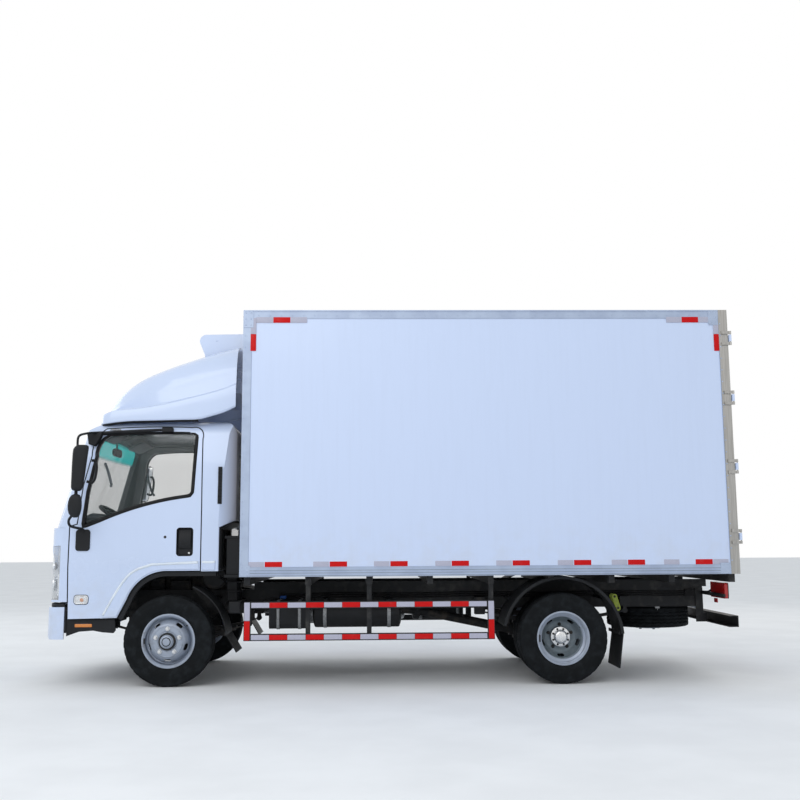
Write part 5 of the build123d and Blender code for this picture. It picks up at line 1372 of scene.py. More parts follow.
class TRUCK_OT_wheel_fittings(Step, Operator):
    """Wheel nuts, hub caps, bolts, rim edges, valves and balance weights."""
    bl_idname = "truck.wheel_fittings"
    bl_label = "Wheel fittings"

    # radius and distance outward
    CAP = [
        (0, 164.6), (18, 164.4), (29, 163.6), (30.6, 162), (31.5, 160.5), (46, 157), (47.5, 156), (51, 139),
        (56, 138.5), (57, 136),
    ]
    COLLAR = [(51, 138.4), (66.6, 134.6), (69.5, 133), (69.5, 117), (66.5, 116.6)]
    LIP = [(206, 69), (212.5, 80.8), (218, 81.6), (225.8, 80.6), (226.6, 77), (225.6, 73.5)]
    REAR_CAP = [
        (0, 99.2), (12, 99), (38, 98.8), (41.5, 97.5), (52.8, 92.6), (54.5, 90), (57.5, 60), (60, 57.2),
        (80, 57), (83, 55.5), (83, 41),
    ]

    def front(self, side, word):
        y = side * FRONT_TRACK
        body = f"front_{word}_wheel"

        def ring(form, profile, steps=64):
            return form.turned(profile, (0, y, AXLE_Z), side=side, steps=steps, closed=False)

        nuts = Form()
        for u, v in circle(NUT_CIRCLE, 5, 90):
            hexagon(nuts, u, y + side * 116, AXLE_Z + v, 15.5, 23, side, 12)
        nuts.show(f"front_{word}_nuts", body, "wheel_silver", "bright_steel", bevel=0.6)
        ring(Form(), self.CAP).show(f"front_{word}_hub_cap", body, "wheel_silver", thick=1.0)
        dark = ring(ring(Form(), self.COLLAR), [(31, 160.8), (37, 159.6)], 48)
        dark.show(f"front_{word}_hub_ring", body, "cast_dark", thick=0.8)
        lip = ring(ring(Form(), self.LIP, 96), [(70.5, 116.5), (76, 118.6), (82, 116.6)])
        ring(lip, [(122, 116.3), (128, 115.6), (133, 112.8)])
        lip.show(f"front_{word}_rim_edge", body, "wheel_silver", thick=1.0)
        small = Form().tube([(150, y + side * 60, AXLE_Z + 130), (158, y + side * 84, AXLE_Z + 126),
                             (162, y + side * 104, AXLE_Z + 124)], [5, 4.5, 4.5], 10)
        small.box(-206, -196, y + side * 70, y + side * 84, AXLE_Z - 24, AXLE_Z + 24)
        small.show(f"front_{word}_valve", body, "cast_dark", bevel=1)

    def rear(self, side, word):
        body = f"rear_{word}_wheels"
        joint = side * TWIN_JOINT
        nuts = Form()
        for u, v in circle(NUT_CIRCLE, 5, 90):
            hexagon(nuts, WHEELBASE + u, joint + side * 0.5, AXLE_Z + v, 16, 24, side, 9)
        for u, v in circle(69, 8, 22.5):
            hexagon(nuts, WHEELBASE + u, joint + side * 56, AXLE_Z + v, 7.5, 7, side, 5)
        nuts.show(f"rear_{word}_nuts", body, "stainless", "cast_dark", bevel=0.5)
        hub = Form().turned(self.REAR_CAP, (WHEELBASE, joint, AXLE_Z), side=side, steps=64, closed=False)
        hub.show(f"rear_{word}_hub", body, "stainless", "bright_steel", thick=0.8)
        lip = Form().turned(self.LIP, (WHEELBASE, side * TWIN_OUTER, AXLE_Z), side=side, steps=96,
                            closed=False)
        lip.show(f"rear_{word}_rim_edge", body, "wheel_silver", thick=1.0)
        small = Form()
        for start in (0, 30):
            small.tube([(WHEELBASE + 146, joint + side * (8 - start), AXLE_Z + 130),
                        (WHEELBASE + 152, joint + side * 60, AXLE_Z + 122 - start),
                        (WHEELBASE + 158, joint + side * 120, AXLE_Z + 112 - start)], [5, 4.5, 4.5], 10)
        small.box(WHEELBASE - 206, WHEELBASE - 196, side * 985, side * 999, AXLE_Z - 30, AXLE_Z + 30)
        small.show(f"rear_{word}_valves", body, "cast_dark", bevel=1)

    def make(self):
        for side, word in SIDES:
            self.front(side, word)
            self.rear(side, word)


class TRUCK_OT_cooling_unit(Step, Operator):
    """Fans, guards, louvres, seams, screws and hoses of the cooling unit, and the evaporator's grilles."""
    bl_idname = "truck.cooling_unit"
    bl_label = "Cooling unit"

    FRONT = 150.0
    FANS = (-280.0, 280.0)
    BLADES_X = FRONT + 66

    def blades(self):
        form = Form()
        for y in self.FANS:
            form.turned([(46, 12), (54, 8), (56, 0), (56, 22), (46, 24)], (self.BLADES_X, y, FAN_Z), "x",
                        1, 40)
            for k in range(sizes().fan_blades):
                grid = []
                for i in range(7):
                    r = 54 + 124 * i / 6
                    sweep = 2 * pi * k / sizes().fan_blades + 0.25 * i / 6
                    wide = 0.36 - 0.10 * i / 6
                    grid.append([(self.BLADES_X + 9 * s - 4 * (1 - s * s), y + r * cos(sweep + wide * s),
                                  FAN_Z + r * sin(sweep + wide * s)) for s in (-1, -0.33, 0.33, 1)])
                form.patch(grid)
        form.show("fan_blades", "chassis", "black_plastic", thick=2.0)

    def guards(self):
        form, dark = Form(), Form()
        x = self.FRONT + 45
        for y in self.FANS:
            for radius in range(40, 191, 15):
                form.hoop((self.FRONT + 47, y, FAN_Z), radius, 1.8, 56)
            for k in range(8):
                c, s = cos(pi * k / 4 + 0.2), sin(pi * k / 4 + 0.2)
                form.tube([(x, y + 30 * c, FAN_Z + 30 * s), (x, y + 188 * c, FAN_Z + 188 * s)], 2.2, 6)
            form.turned([(183, 44), (196, 40), (199, 47), (190, 52)], (self.FRONT, y, FAN_Z), "x", 1, 64)
            # A flat dark disc behind each fan's blades: painted shade of the unit's inside seen through the
            # fan.
            dark.turned([(0, 90.5), (188, 90.5), (188, 91)], (self.FRONT - 12, y, FAN_Z), "x", 1, 48,
                        closed=False)
        form.show("fan_guards", "chassis", "black_plastic")
        dark.show("fan_shade_discs", "chassis", "black_plastic", "cast_dark", thick=1.0)

    def housing(self):
        seams, screws = Form(), Form()
        for side in (-1, 1):
            face = side * 600.6
            for x in (270, 430):
                for z in range(2660, 2858, 22):
                    slot = rounded(x, x + 130, z, z + 12, 5, 3)
                    screws.skin([[(u, face, v) for u, v in slot],
                                 [(u, face + side * 5, v + 3) for u, v in shifted(slot, -3)]])
            seams.box(592, 612, side * 600.2, side * 606, 2565, 3090)
            for x, z in ((260, 2600), (570, 2600), (260, 2900), (570, 2900), (300, 3050), (570, 3050)):
                screws.turned([(0, 0.4), (9, 0.4), (8, 4), (0, 6)], (x, face, z), side=side, steps=16)
        for y in (-400, 0, 400):
            seams.box(175, 614, y - 2, y + 2, 3111.4, 3113.2)
        for y in (-560, -140, 140, 560):
            screws.turned([(0, 0.2), (9, 0.2), (8, 4), (0, 5)], (203.4, y, 2600), "x", -1, 16)
        seams.show("unit_seams", "chassis", "edge_trim", "seal_rubber")
        screws.show("unit_louvres", "chassis", "unit_white", "moulding_white", bevel=0.6)

    def evaporator(self):
        form = Form().boxes([(905, 1100, y, y + 6, 3026, 3034) for y in range(-630, 666, 36)])
        form.boxes([(697, 1112, -684, -679.6, 3060, 3128), (697, 1112, 679.6, 684, 3060, 3128)])
        for y in (-430, 0, 430):
            form.turned([(150, -1), (160, -1), (162, 6), (150, 6)], (790, y, 2941), "z", -1, 48)
            for radius in (30, 60, 90, 120, 148):
                form.hoop((790, y, 2935), radius, 2, 40, "z")
        form.show("evaporator_grilles", "chassis", "black_plastic")

    def make(self):
        self.blades()
        self.guards()
        self.housing()
        pipes = Form()
        for y, z in ((-560, 2500), (-520, 2480), (520, 2490)):
            pipes.hose([(560, y, 2580), (560, y, z + 20), (552, y, z - 400), (570, y * 0.9, 1800),
                        (575, y * 0.8, 1300), (575, y * 0.7, 1000), (520, y * 0.55, 860),
                        (460, y * 0.4, 800)], 14)
        pipes.show("unit_hoses", "chassis", "black_plastic", "seal_rubber", smooth=60)
        self.evaporator()


class TRUCK_OT_cargo_box(Step, Operator):
    """Rivets, corner plates, edge lips, door gaskets, lock gear, hinge bolts, ribs and lamps of the box."""
    bl_idname = "truck.cargo_box"
    bl_label = "Cargo box"

    LOCK_Y = (250.0, 800.0)
    LOCK_X = BOX_REAR + 15

    def rivets(self):
        form = Form()
        pitch = sizes().rivet_pitch / MM

        def head(x, y, z, axis, way):
            form.turned([(0.2, 3.2), (4.5, 2.4), (6.5, 0.2)], (x, y, z), axis, way, 8, closed=False)

        for side in (-1, 1):
            face = side * (BOX_SIDE + 0.2)
            for k in range(int(4130 / pitch) + 1):
                x = 650 + k * pitch
                if x < 4780:
                    head(x, face, 3166, "y", side)
                    head(x, face, 956, "y", side)
            for k in range(21):
                z = 1030 + k * 103
                head(628, face, z, "y", side)
                head(4801, face, z, "y", side)
                head(BOX_FRONT - 0.2, side * (BOX_SIDE - 36), z, "x", -1)
        for y in range(-950, 1050, 100):
            head(BOX_FRONT - 0.2, y, 956, "x", -1)
            head(BOX_FRONT - 0.2, y, 3175, "x", -1)
        form.show("box_rivets", "chassis", "edge_trim", "extruded_trim")

    def corners(self):
        form = Form()
        for side in (-1, 1):
            y = side * BOX_SIDE
            for x0, x1, z0, z1 in ((613, 700, 3060, 3212), (4700, 4786, 3080, 3212), (613, 700, 918, 1010),
                                   (4700, 4786, 918, 1010)):
                edge = [(x0, z0), (x1, z0), (x1, z1), (x0, z1)]
                form.plate(edge, y + side * 0.3, y + side * 3.2)
                for u in (0.25, 0.75):
                    for v in (0.15, 0.5, 0.85):
                        form.turned([(0.2, 6), (5, 5), (7, 3.2)], (x0 + u * (x1 - x0), y, z0 + v * (z1 - z0)),
                                    "y", side, 8, closed=False)
        form.show("box_corner_plates", "chassis", "edge_trim", "extruded_trim", bevel=1)

    def lips(self):
        form = Form()
        edge = [(684, 991), (4788, 991), (4788, 3143), (684, 3143)]
        for side in (-1, 1):
            face = side * (BOX_SIDE - 4)
            form.plate(edge, face + side * 0.2, face + side * 4.6, (face + side * 4.6, -5),
                       (face + side * 0.2, -7), caps=False)
            form.box(620, 4786, side * (BOX_SIDE - 12), side * (BOX_SIDE + 5), 3203, 3211)
        form.show("panel_edge_lips", "chassis", "edge_trim", "extruded_trim")

    def lock(self, gear, bolts, side, y):
        """One locking bar's guides, cams and handle."""
        for z in (1175.0, 1700.0, 2340.0, 2964.0):
            gear.end_plate(oblong(y, z, 30, 20), BOX_REAR + 0.3, BOX_REAR + 5, side=side)
            gear.turned([(9.6, -18), (11.4, -18), (11.4, 18), (9.6, 18)], (self.LOCK_X, side * y, z), "z",
                        1, 24)
            for dy in (-24, 24):
                bolts.turned([(0, 5), (6, 5), (5.5, 8.5), (0, 9)], (BOX_REAR, side * (y + dy), z), "x", 1, 12)
        for z in (972.0, 3168.0):
            gear.end_plate(oblong(y, z, 34, 20), BOX_REAR + 0.5, BOX_REAR + 5, side=side)
            gear.turned([(9.6, -14), (10.6, -14), (11.4, 0), (10.6, 14), (9.6, 14)],
                        (self.LOCK_X, side * y, z),
                        "z", 1, 24)
            gear.box(4874, 4889, side * (y + 14), side * (y + 24), z - 12, z + 12)
        gear.hose([(4883, side * (y - 9), 1500), (4884, side * (y - 40), 1502),
                   (4885, side * (y - 150), 1497),
                   (4884.5, side * (y - 182), 1496)], 7, 12)
        gear.end_plate(oblong(y - 175, 1496, 26, 30), BOX_REAR + 1, BOX_REAR + 5, side=side)
        gear.box(4872, 4889, side * (y - 196), side * (y - 188), 1480, 1512)

    def doors(self, side, word):
        door = f"rear_{word}_door"
        seal = bead(rounded(5.0, 1034.0, 1023.0, 3116.0, 8), 9, 6.0,
                    lambda a, b, lift: (BOX_REAR + lift, side * a, b))
        seal.show(f"{word}_rear_door_gasket", door, "black_plastic", "seal_rubber", thick=1.0)
        gear, bolts = Form(), Form()
        for y in self.LOCK_Y:
            self.lock(gear, bolts, side, y)
        gear.show(f"{word}_lock_gear", door, "stainless", "bright_steel", bevel=1)
        for z in (1230.0, 1830.0, 2430.0, 2960.0):
            for dy in (0, 34, 68):
                for dz in (-17, 17):
                    bolts.turned([(0, 0.2), (8, 0.2), (7, 4.5), (0, 5.5)], (4882, side * (960 + dy), z + dz),
                                 "x", 1, 12)
        bolts.show(f"{word}_hinge_bolts", door, "stainless")
        ribs = Form()
        for z in (1290, 1560, 1900, 2160, 2520, 2790):
            ribs.box(BOX_REAR + 0.2, BOX_REAR + 2.4, side * 40, side * 215, z, z + 5)
        ribs.box(BOX_REAR + 0.2, BOX_REAR + 2.5, side * 20, side * 1020, 1045, 1052)
        ribs.show(f"{word}_rear_door_ribs", door, "edge_trim", "extruded_trim", bevel=0.5)

    def make(self):
        self.rivets()
        self.corners()
        self.lips()
        for side, word in SIDES:
            self.doors(side, word)
        marks, amber, grooves = Form(), Form(), Form()
        for y in (-1010, -180, 0, 180, 1010):
            marks.end_plate(rounded(y - 40, y + 40, 3158, 3186, 10), 4868.2, 4876, (4879, -5))
        marks.show("rear_marker_lamps", "chassis", "red_lens")
        for y in (-1010, -340, 340, 1010):
            amber.end_plate(rounded(y - 40, y + 40, 3160, 3188, 10), 610.8, 603, (600, -5))
        amber.show("front_marker_lamps", "chassis", "lamp_lens", "amber_lens")
        # Dark strips along the bottom rail: painted shade that stands for the rail's grooves.
        for z in (921.5, 943.5, 965.5):
            grooves.box(690, 4788, -BOX_SIDE - 0.9, -BOX_SIDE + 0.5, z, z + 3.2)
        grooves.both().show("rail_groove_shade", "chassis", "edge_trim", "grey_and_groove_shade")
        floor = Form().boxes([(720, 4780, y, y + 14, 1015.2, 1022) for y in range(-960, 1088, 128)])
        floor.show("floor_rails", "chassis", "floor_grey", "stainless", bevel=1)


class TRUCK_OT_cabin(Step, Operator):
    """Seats with bolsters, steering wheel, dials, mirror, visors, door cards, belts, levers and pedals."""
    bl_idname = "truck.cabin"
    bl_label = "Cabin"

    TILT = radians(32.0)
    HUB = (-520.0, -620.0, 1420.0)
    CARD = [
        (-800, 1330), (-220, 1500), (100, 1580), (215, 1590), (222, 1020), (-40, 1000), (-290, 905),
        (-400, 745), (-470, 640), (-800, 640),
    ]

    def column(self, u, v, w):
        """A point from the steering wheel's hub: forward-down, across and along the column."""
        c, s = cos(self.TILT), sin(self.TILT)
        return (self.HUB[0] + u * c + w * s, self.HUB[1] + v, self.HUB[2] - u * s + w * c)

    def cushion(self, form, y, half, base, top):
        rings = []
        for t in (-1.0, -0.96, -0.78, -0.6, 0.6, 0.78, 0.96, 1.0):
            pull = 22 if abs(t) == 1.0 else (4 if abs(t) > 0.9 else 0)
            rise = 18 if 0.7 < abs(t) < 0.97 else 0
            edge = [(-300 + pull, base + 6 + pull * 0.4), (-314 + pull, top - 50),
                    (-292 + pull, top - 8 + rise - pull * 0.6), (-200, top + rise - pull),
                    (-20, top - 10 + rise - pull), (190, top - 22 + rise * 0.6 - pull),
                    (228 - pull, top - 40),
                    (228 - pull, base + 6 + pull * 0.4)]
            rings.append([(x, y + half * t, z) for x, z in edge])
        form.skin(rings)

    def back(self, form, y, half, foot):
        section = (
            (-1.0, 0.3), (-0.94, -0.24), (-0.7, -0.22), (-0.5, 0.02), (0.5, 0.02), (0.7, -0.22),
            (0.94, -0.24), (1.0, 0.3), (0.96, 0.9), (0.0, 1.0), (-0.96, 0.9),
        )
        # height, lean, depth and share of the width
        rows = ((foot, 212, 70, 0.86), (foot + 40, 222, 92, 0.98), (foot + 200, 252, 100, 1.0),
                (foot + 420, 290, 84, 1.0), (1680, 318, 70, 0.94), (1745, 326, 60, 0.84),
                (1764, 332, 40, 0.7))
        form.skin([[(lean + push * deep, y + half * wide * v, z) for v, push in section]
                   for z, lean, deep, wide in rows])

    def head(self, form, y):
        rings = []
        for z, wide, deep in ((1768, 0.75, 0.7), (1778, 0.96, 0.95), (1820, 1.0, 1.0), (1880, 0.95, 0.95),
                              (1898, 0.7, 0.6)):
            rings.append([(348 + 42 * deep * cos(a) * abs(cos(a)) ** -0.35,
                           y + 125 * wide * copysign(abs(sin(a)) ** 0.6, sin(a)), z)
                          for a in (2 * pi * (k + 0.5) / 20 for k in range(20))])
        form.skin(rings)

    def seats(self):
        cloth, frames = Form(), Form()
        for y, half, base, top in ((-645, 218, 995, 1145), (0, 198, 1110, 1220), (645, 218, 995, 1145)):
            self.cushion(cloth, y, half, base, top)
            self.back(cloth, y, half - 8, top - 44)
            self.head(cloth, y)
            for step in (-50, 50):
                frames.tube([(342, y + step, 1740), (348, y + step, 1790)], 6, 8)
            frames.box(-270, 200, y - half + 30, y + half - 30, base + 0.5, base + 12)
        seats = cloth.show("seat_cushions", "cab", "seat_fabric", "seat_cloth", smooth=80, subdivide=2)
        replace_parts(seats, "seats")
        for sign in (-1, 1):
            y = sign * 880
            frames.hose([(372, y - sign * 20, 1900), (330, y - sign * 40, 1700), (250, y - sign * 30, 1300),
                         (228, y - sign * 22, 1080)], 9, 6)
            frames.box(352, 388, y - sign * 26 - 14, y - sign * 26 + 14, 1880, 1935)
            frames.boxes([(170, 200, sign * 418, sign * 436, 1120, 1215),
                          (164, 206, sign * 414, sign * 440, 1210, 1250)])
        frames.show("seat_fittings", "cab", "black_plastic", bevel=1.5)

    def steering(self):
        rim = Form().tube([self.column(u, v, 0) for u, v in circle(210, 64)], 15.5, 12, closed=True)
        rim.skin([[self.column(u, v * 0.92, w) for u, v in circle(r, 32)]
                  for r, w in ((58, -16), (84, 4), (86, 16), (72, 27), (40, 32), (4, 33))])
        for a in (radians(90), radians(210), radians(330)):
            c, s = cos(a), sin(a)
            rim.skin([[self.column(r * c - s * g, r * s + c * g, w) for g, w in
                       ((-wide, -7), (wide, -7), (wide * 0.8, 10 - r * 0.03), (-wide * 0.8, 10 - r * 0.03))]
                      for r, wide in ((60, 30), (120, 20), (200, 15))])
        wheel = rim.show("steering_wheel_rim", "steering_wheel", "black_plastic", bevel=1.0, smooth=50)
        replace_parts(wheel, "steering_wheel")

    def dash(self):
        form = Form()
        hood = [(-790, 1386), (-660, 1380), (-628, 1440), (-655, 1462), (-740, 1470), (-800, 1440)]
        form.skin([[(x, y, z - drop) for x, z in hood] for y, drop in
                   ((-830, 40), (-800, 8), (-740, 0), (-500, 0), (-440, 8), (-410, 40))])
        for y, half in ((-850, 45), (-300, 60), (300, 60), (850, 45)):
            edge = rounded(y - half, y + half, 1238, 1312, 12, 3)
            form.end_plate(edge, -652, -640, (-638, -6), (-648, -9))
            form.boxes([(-650, -639, edge[5][0] + 8, edge[0][0] - 8, z, z + 3)
                        for z in range(1250, 1310, 15)])
        form.end_plate(rounded(-160, 160, 1195, 1322, 14, 3), -654, -637, (-634, -8))
        console = [(-690, 1110), (-662, 1168), (-652, 1190), (-640, 1190), (-560, 1112), (-560, 1095)]
        form.plate(console, -190, 190)
        form.hose([(-420, 60, 1112), (-432, 60, 1200), (-410, 60, 1330)], 8)
        form.turned([(0, -26), (18, -22), (25, 0), (20, 20), (0, 28)], (-409, 60, 1350), "z", 1, 20)
        form.turned([(0, 0), (64, 0), (48, 26), (14, 56), (0, 58)], (-420, 60, 1111), "z", 1, 24)
        for y in (-760, -640, -530):
            form.tube([(-905, y, 1010), (-880, y, 900), (-850, y, 860)], 7, 8)
            form.skin([[(-862 + u, y + v, 850 + u * 1.1 + w) for u, v in oblong(0, 0, 28, 26)]
                       for w in (0, 10)])
        for sign in (-1, 1):
            form.tube([self.column(-10, sign * 50, -60), self.column(-24, sign * 190, -50)], [8, 6], 8)
        form.show("dash_fittings", "cab", "black_plastic", "cabin_plastic", bevel=2)

    def dials(self):
        form = Form()
        for y, radius in ((-690, 46), (-560, 46), (-625, 22)):
            form.turned([(0, 0), (radius, 0), (radius, 4), (radius - 4, 5), (0, 3)], (-650, y, 1398), "x",
                        1, 32)
        form.end_plate(rounded(-120, 120, 1225, 1312, 6, 3), -634.5, -632.5)
        form.show("dash_dials", "cab", "clear_glass", "mirror_silver")
        upper = Form().end_plate(rounded(-330, -90, 2010, 2084, 28, 4), (-700, -14), (-690, -2), -668,
                                 (-664, -4))
        upper.tube([(-688, -200, 2080), (-700, -150, 2150), (-690, -120, 2215)], 8, 8)
        upper.show("inner_mirror", "cab", "black_plastic")

    def linings(self, side, word):
        """Sun visor with its grab handle, door card and window rail."""
        def shell(x, z, lift):
            return (x, side * (cab_half(z) - 60 - lift), z)

        pads = Form()
        flap = rounded(260, 760, 0, 150, 30, 4)
        pads.skin([[(-700 + b * 0.9 + w * 0.3, side * a, 2120 + b * 0.45 + w) for a, b in shifted(flap, g)]
                   for w, g in ((0, -6), (4, 0), (14, 0), (18, -6))])
        pads.hose([(-560, side * 846, 1700), (-572, side * 800, 1730), (-610, side * 790, 1850),
                   (-622, side * 830, 1900)], 12)
        pads.show(f"{word}_sun_visor", "cab", "cabin_grey", "cabin_lining", smooth=50)
        card = Form()
        # panel, arm rest, pull and pocket: outline, then rows of lift and outward shift
        for outline, levels in (
                (self.CARD, ((-1, 0), (8, -3), (11, -12))),
                (rounded(-330, 120, 1210, 1285, 26, 4), ((8, 6), (38, 0), (50, -16))),
                (rounded(-690, -560, 1180, 1240, 16, 3), ((8, 3), (20, 0), (12, -9))),
                (rounded(-700, -330, 700, 860, 24, 3), ((8, 4), (34, 0), (36, -6)))):
            card.skin([[shell(x, z, lift) for x, z in shifted(outline, g)] for lift, g in levels])
        card.show(f"{word}_door_card", f"{word}_cab_door", "cabin_grey", "cabin_plastic", bevel=2)
        rail = Form().tube([shell(x, z, 4) for x, z in ((-780, 1362), (-600, 1418), (-222, 1526), (60, 1590),
                                                        (160, 1622))], 15, 10)
        rail.show(f"{word}_window_rail", f"{word}_cab_door", "black_plastic")

    def make(self):
        self.seats()
        self.steering()
        self.dash()
        self.dials()
        for side, word in SIDES:
            self.linings(side, word)


class TRUCK_OT_underbody(Step, Operator):
    """Air intake, hoses, cables, straps, caps, engine ribs, spring clips, shackles, flap plates and winch."""
    bl_idname = "truck.underbody"
    bl_label = "Underbody"

    # y, z of the round tank's axis
    TANK = (-650, 570)
    # x, z of the two pins of a spring shackle, and the radius of its ends
    PINS = ((3925, 700), (3953, 597))
    PIN_REACH = 24

    def intake(self):
        form = Form()
        path = smooth_path([(500, -600, 700), (500, -610, 900), (520, -640, 1100), (535, -640, 1240)], 5)
        section = ((1, 0.8), (0.8, 1), (-0.8, 1), (-1, 0.8), (-1, -0.8), (-0.8, -1), (0.8, -1), (1, -0.8))
        rings = []
        for i, (x, y, z) in enumerate(path):
            t = i / (len(path) - 1)
            rings.append([(x + u * (52 + 6 * t), y + v * (120 + 40 * t), z) for u, v in section])
        form.skin(rings)
        form.boxes([(455, 580, -790, -480, z, z + 8) for z in range(780, 1181, 80)])
        form.boxes([(450, 600, -900, -470, 1236, 1262), (455, 596, -930, -640, 905, 930),
                    (470, 592, -905, -820, 930, 1236)])
        form.show("air_intake", "chassis", "black_plastic", bevel=3)

    def engine(self):
        form = Form()
        form.turned([(0, -150), (96, -150), (104, -140), (104, 130), (96, 142), (60, 150), (60, 190),
                     (0, 190)],
                    (330, -500, 905), "y", 1, 40)
        for k in range(7):
            form.hoop((330, -630 + k * 38, 905), 107, 3, 32, "y")
        form.hose([(330, -340, 905), (330, -280, 905), (250, -262, 960), (120, -262, 980)], 44, 16)
        form.boxes([(x, x + 10, -256, -249.5, 560, 1000) for x in range(-340, 300, 64)])
        form.boxes([(-360, 290, -262, -250, 990, 1022), (-350, 250, -264, -250, 516, 534),
                    (-120, 60, -330, -250, 690, 860), (110, 260, -320, -250, 620, 760),
                    (-300, -180, -312, -250, 740, 880)])
        form.turned([(0, -60), (58, -60), (62, -50), (62, 50), (58, 60), (0, 60)], (-240, -300, 660), "y",
                    1, 32)
        form.show("engine_parts", "chassis", "cast_dark", bevel=3)

    def pipes(self):
        form = Form()
        for y, z in ((-386, 740), (-388, 722), (-390, 704), (386, 735), (389, 712)):
            way = 1 if y > 0 else -1
            form.tube([(x, y + 4 * sin(x / 260) * way + 8 * way, z + 5 * sin(x / 190))
                       for x in range(905, 4620, 95)], 6, 6)
        form.boxes([(x0, x1, side * 379, side * 412, 696, 752) for x0, x1 in ((880, 915), (4600, 4680))
                    for side in (-1, 1)])
        form.hose([(420, -560, 640), (470, -640, 760), (440, -700, 860), (400, -760, 905)], 12, 8)
        form.hose([(560, -420, 700), (640, -470, 640), (800, -480, 700), (922, -480, 690)], 9, 8)
        form.hose([(1160, -600, 660), (1200, -640, 700), (1235, -650, 640)], 10, 8)
        form.hose([(WHEELBASE, -60, 470), (WHEELBASE - 120, -120, 560), (WHEELBASE - 260, -330, 640)], 9, 8)
        form.hose([(60, 330, 560), (160, 300, 470), (330, 360, 640)], 9, 8)
        form.show("air_and_fuel_lines", "chassis", "black_plastic", "seal_rubber", smooth=60)
        cap = Form().turned([(0, 0), (26, 0), (29, 4), (29, 20), (25, 26), (0, 27)], (922, -480, 700), "z",
                            1, 32)
        cap.tube([(922, -480, 640), (922, -480, 702)], 20, 20)
        cap.show("reagent_cap", "chassis", "black_plastic", "blue_cap", bevel=1)

    def tanks(self):
        y, z = self.TANK
        straps, ends = Form(), Form()
        for x in (2190, 2560):
            straps.end_plate(rounded(465, 905, 435, 785, 62, 6), x, x + 32, caps=False)
        for x in (905, 1090):
            straps.end_plate(rounded(-884, -516, 461, 704, 46, 6), x, x + 26, caps=False)
        for x in (1300, 1862):
            straps.turned([(111, 0), (114, 0), (114, 28), (111, 28)], (x, y, z), "x", 1, 48)
        straps.show("tank_straps", "chassis", "stainless", "zinc", thick=2)
        for x, way in ((1230, -1), (1960, 1)):
            ends.turned([(110, -2), (104, 8), (70, 20), (20, 25), (0.5, 26)], (x, y, z), "x", way, 40,
                        closed=False)
        ends.turned([(30, 0), (48, 2), (50, 30), (44, 38), (0, 40)], (2300, 820, 800), "z", 1, 32,
                    closed=False)
        ends.show("tank_ends", "chassis", "black_plastic", "frame_black", thick=1)

    def springs(self):
        form = Form()
        # axle, y, seat height, half length, rise, height of a clip and of a bolt over the seat
        for axle, y, seat, half, rise, clip, bolt in ((0, 385, 342, 610, 90, 40, 70),
                                                      (WHEELBASE, 455, 445, 660, 70, 52, 92)):
            for side in (-1, 1):
                for end in (-1, 1):
                    for part in (0.38, 0.62):
                        lift = seat + rise * part * part
                        x = axle + end * half * part
                        form.box(x - 16, x + 16, side * (y - 41), side * (y + 41), lift - 6, lift + clip)
                    for leg in (-42, 42):
                        form.turned([(0, 0), (13, 0), (12, 12), (6, 14), (6, 26), (0, 27)],
                                    (axle + end * 86, side * (y + leg), seat + bolt), "z", 1, 12)
        form.show("spring_clips", "chassis", "cast_dark", bevel=1)

    def shackles(self):
        (ax, az), (bx, bz) = self.PINS
        lean = atan2(bx - ax, az - bz)
        link = []
        for (x, z), start in zip(self.PINS, (0, pi)):
            for k in range(11):
                a = start + pi * k / 10 + lean
                link.append((x + self.PIN_REACH * cos(a), z + self.PIN_REACH * sin(a)))
        lime = Form().plate(link, -512, -504).plate(link, -411, -403)
        lime.both().show("spring_shackles", "chassis", "cast_dark", "lime_paint", bevel=2)
        holes = Form()
        for x, z in self.PINS:
            holes.turned([(0, 512.4), (11, 512.4), (11, 514), (8, 514.5), (0, 513.4)], (x, 0, z), side=-1,
                         steps=20)
        holes.both().show("shackle_pins", "chassis", "cast_dark")

    def flaps(self):
        form = Form()
        brace = [(133, 815), (242, 829), (340, 642), (282, 642)]
        for side in (-1, 1):
            form.box(3838, 3850, side * 990, side * 600, 405, 432)
            for y in (640, 780, 920):
                form.turned([(0, 0), (8, 0), (7, 5), (0, 6)], (3850, side * y, 418), "x", 1, 12)
            form.plate(brace, 652, 660, side=side)
        form.show("flap_plates", "chassis", "black_plastic", "frame_black", bevel=1)

    def winch(self):
        form = Form().tube([(SPARE_X, 0, 385), (SPARE_X, 0, 640)], 7, 8)
        for u, v in circle(NUT_CIRCLE, 5):
            form.turned([(0, 0), (12, 0), (12, -10), (0, -11)], (SPARE_X + u, v, 382), "z", 1, 12)
        form.boxes([(4310, 4390, -330, -60, 690, 696), (4330, 4370, -372, -340, 560, 690)])
        form.show("spare_winch", "chassis", "cast_dark", "zinc", bevel=1)

    def make(self):
        self.intake()
        self.engine()
        self.pipes()
        self.tanks()
        self.springs()
        self.shackles()
        self.flaps()
        self.winch()


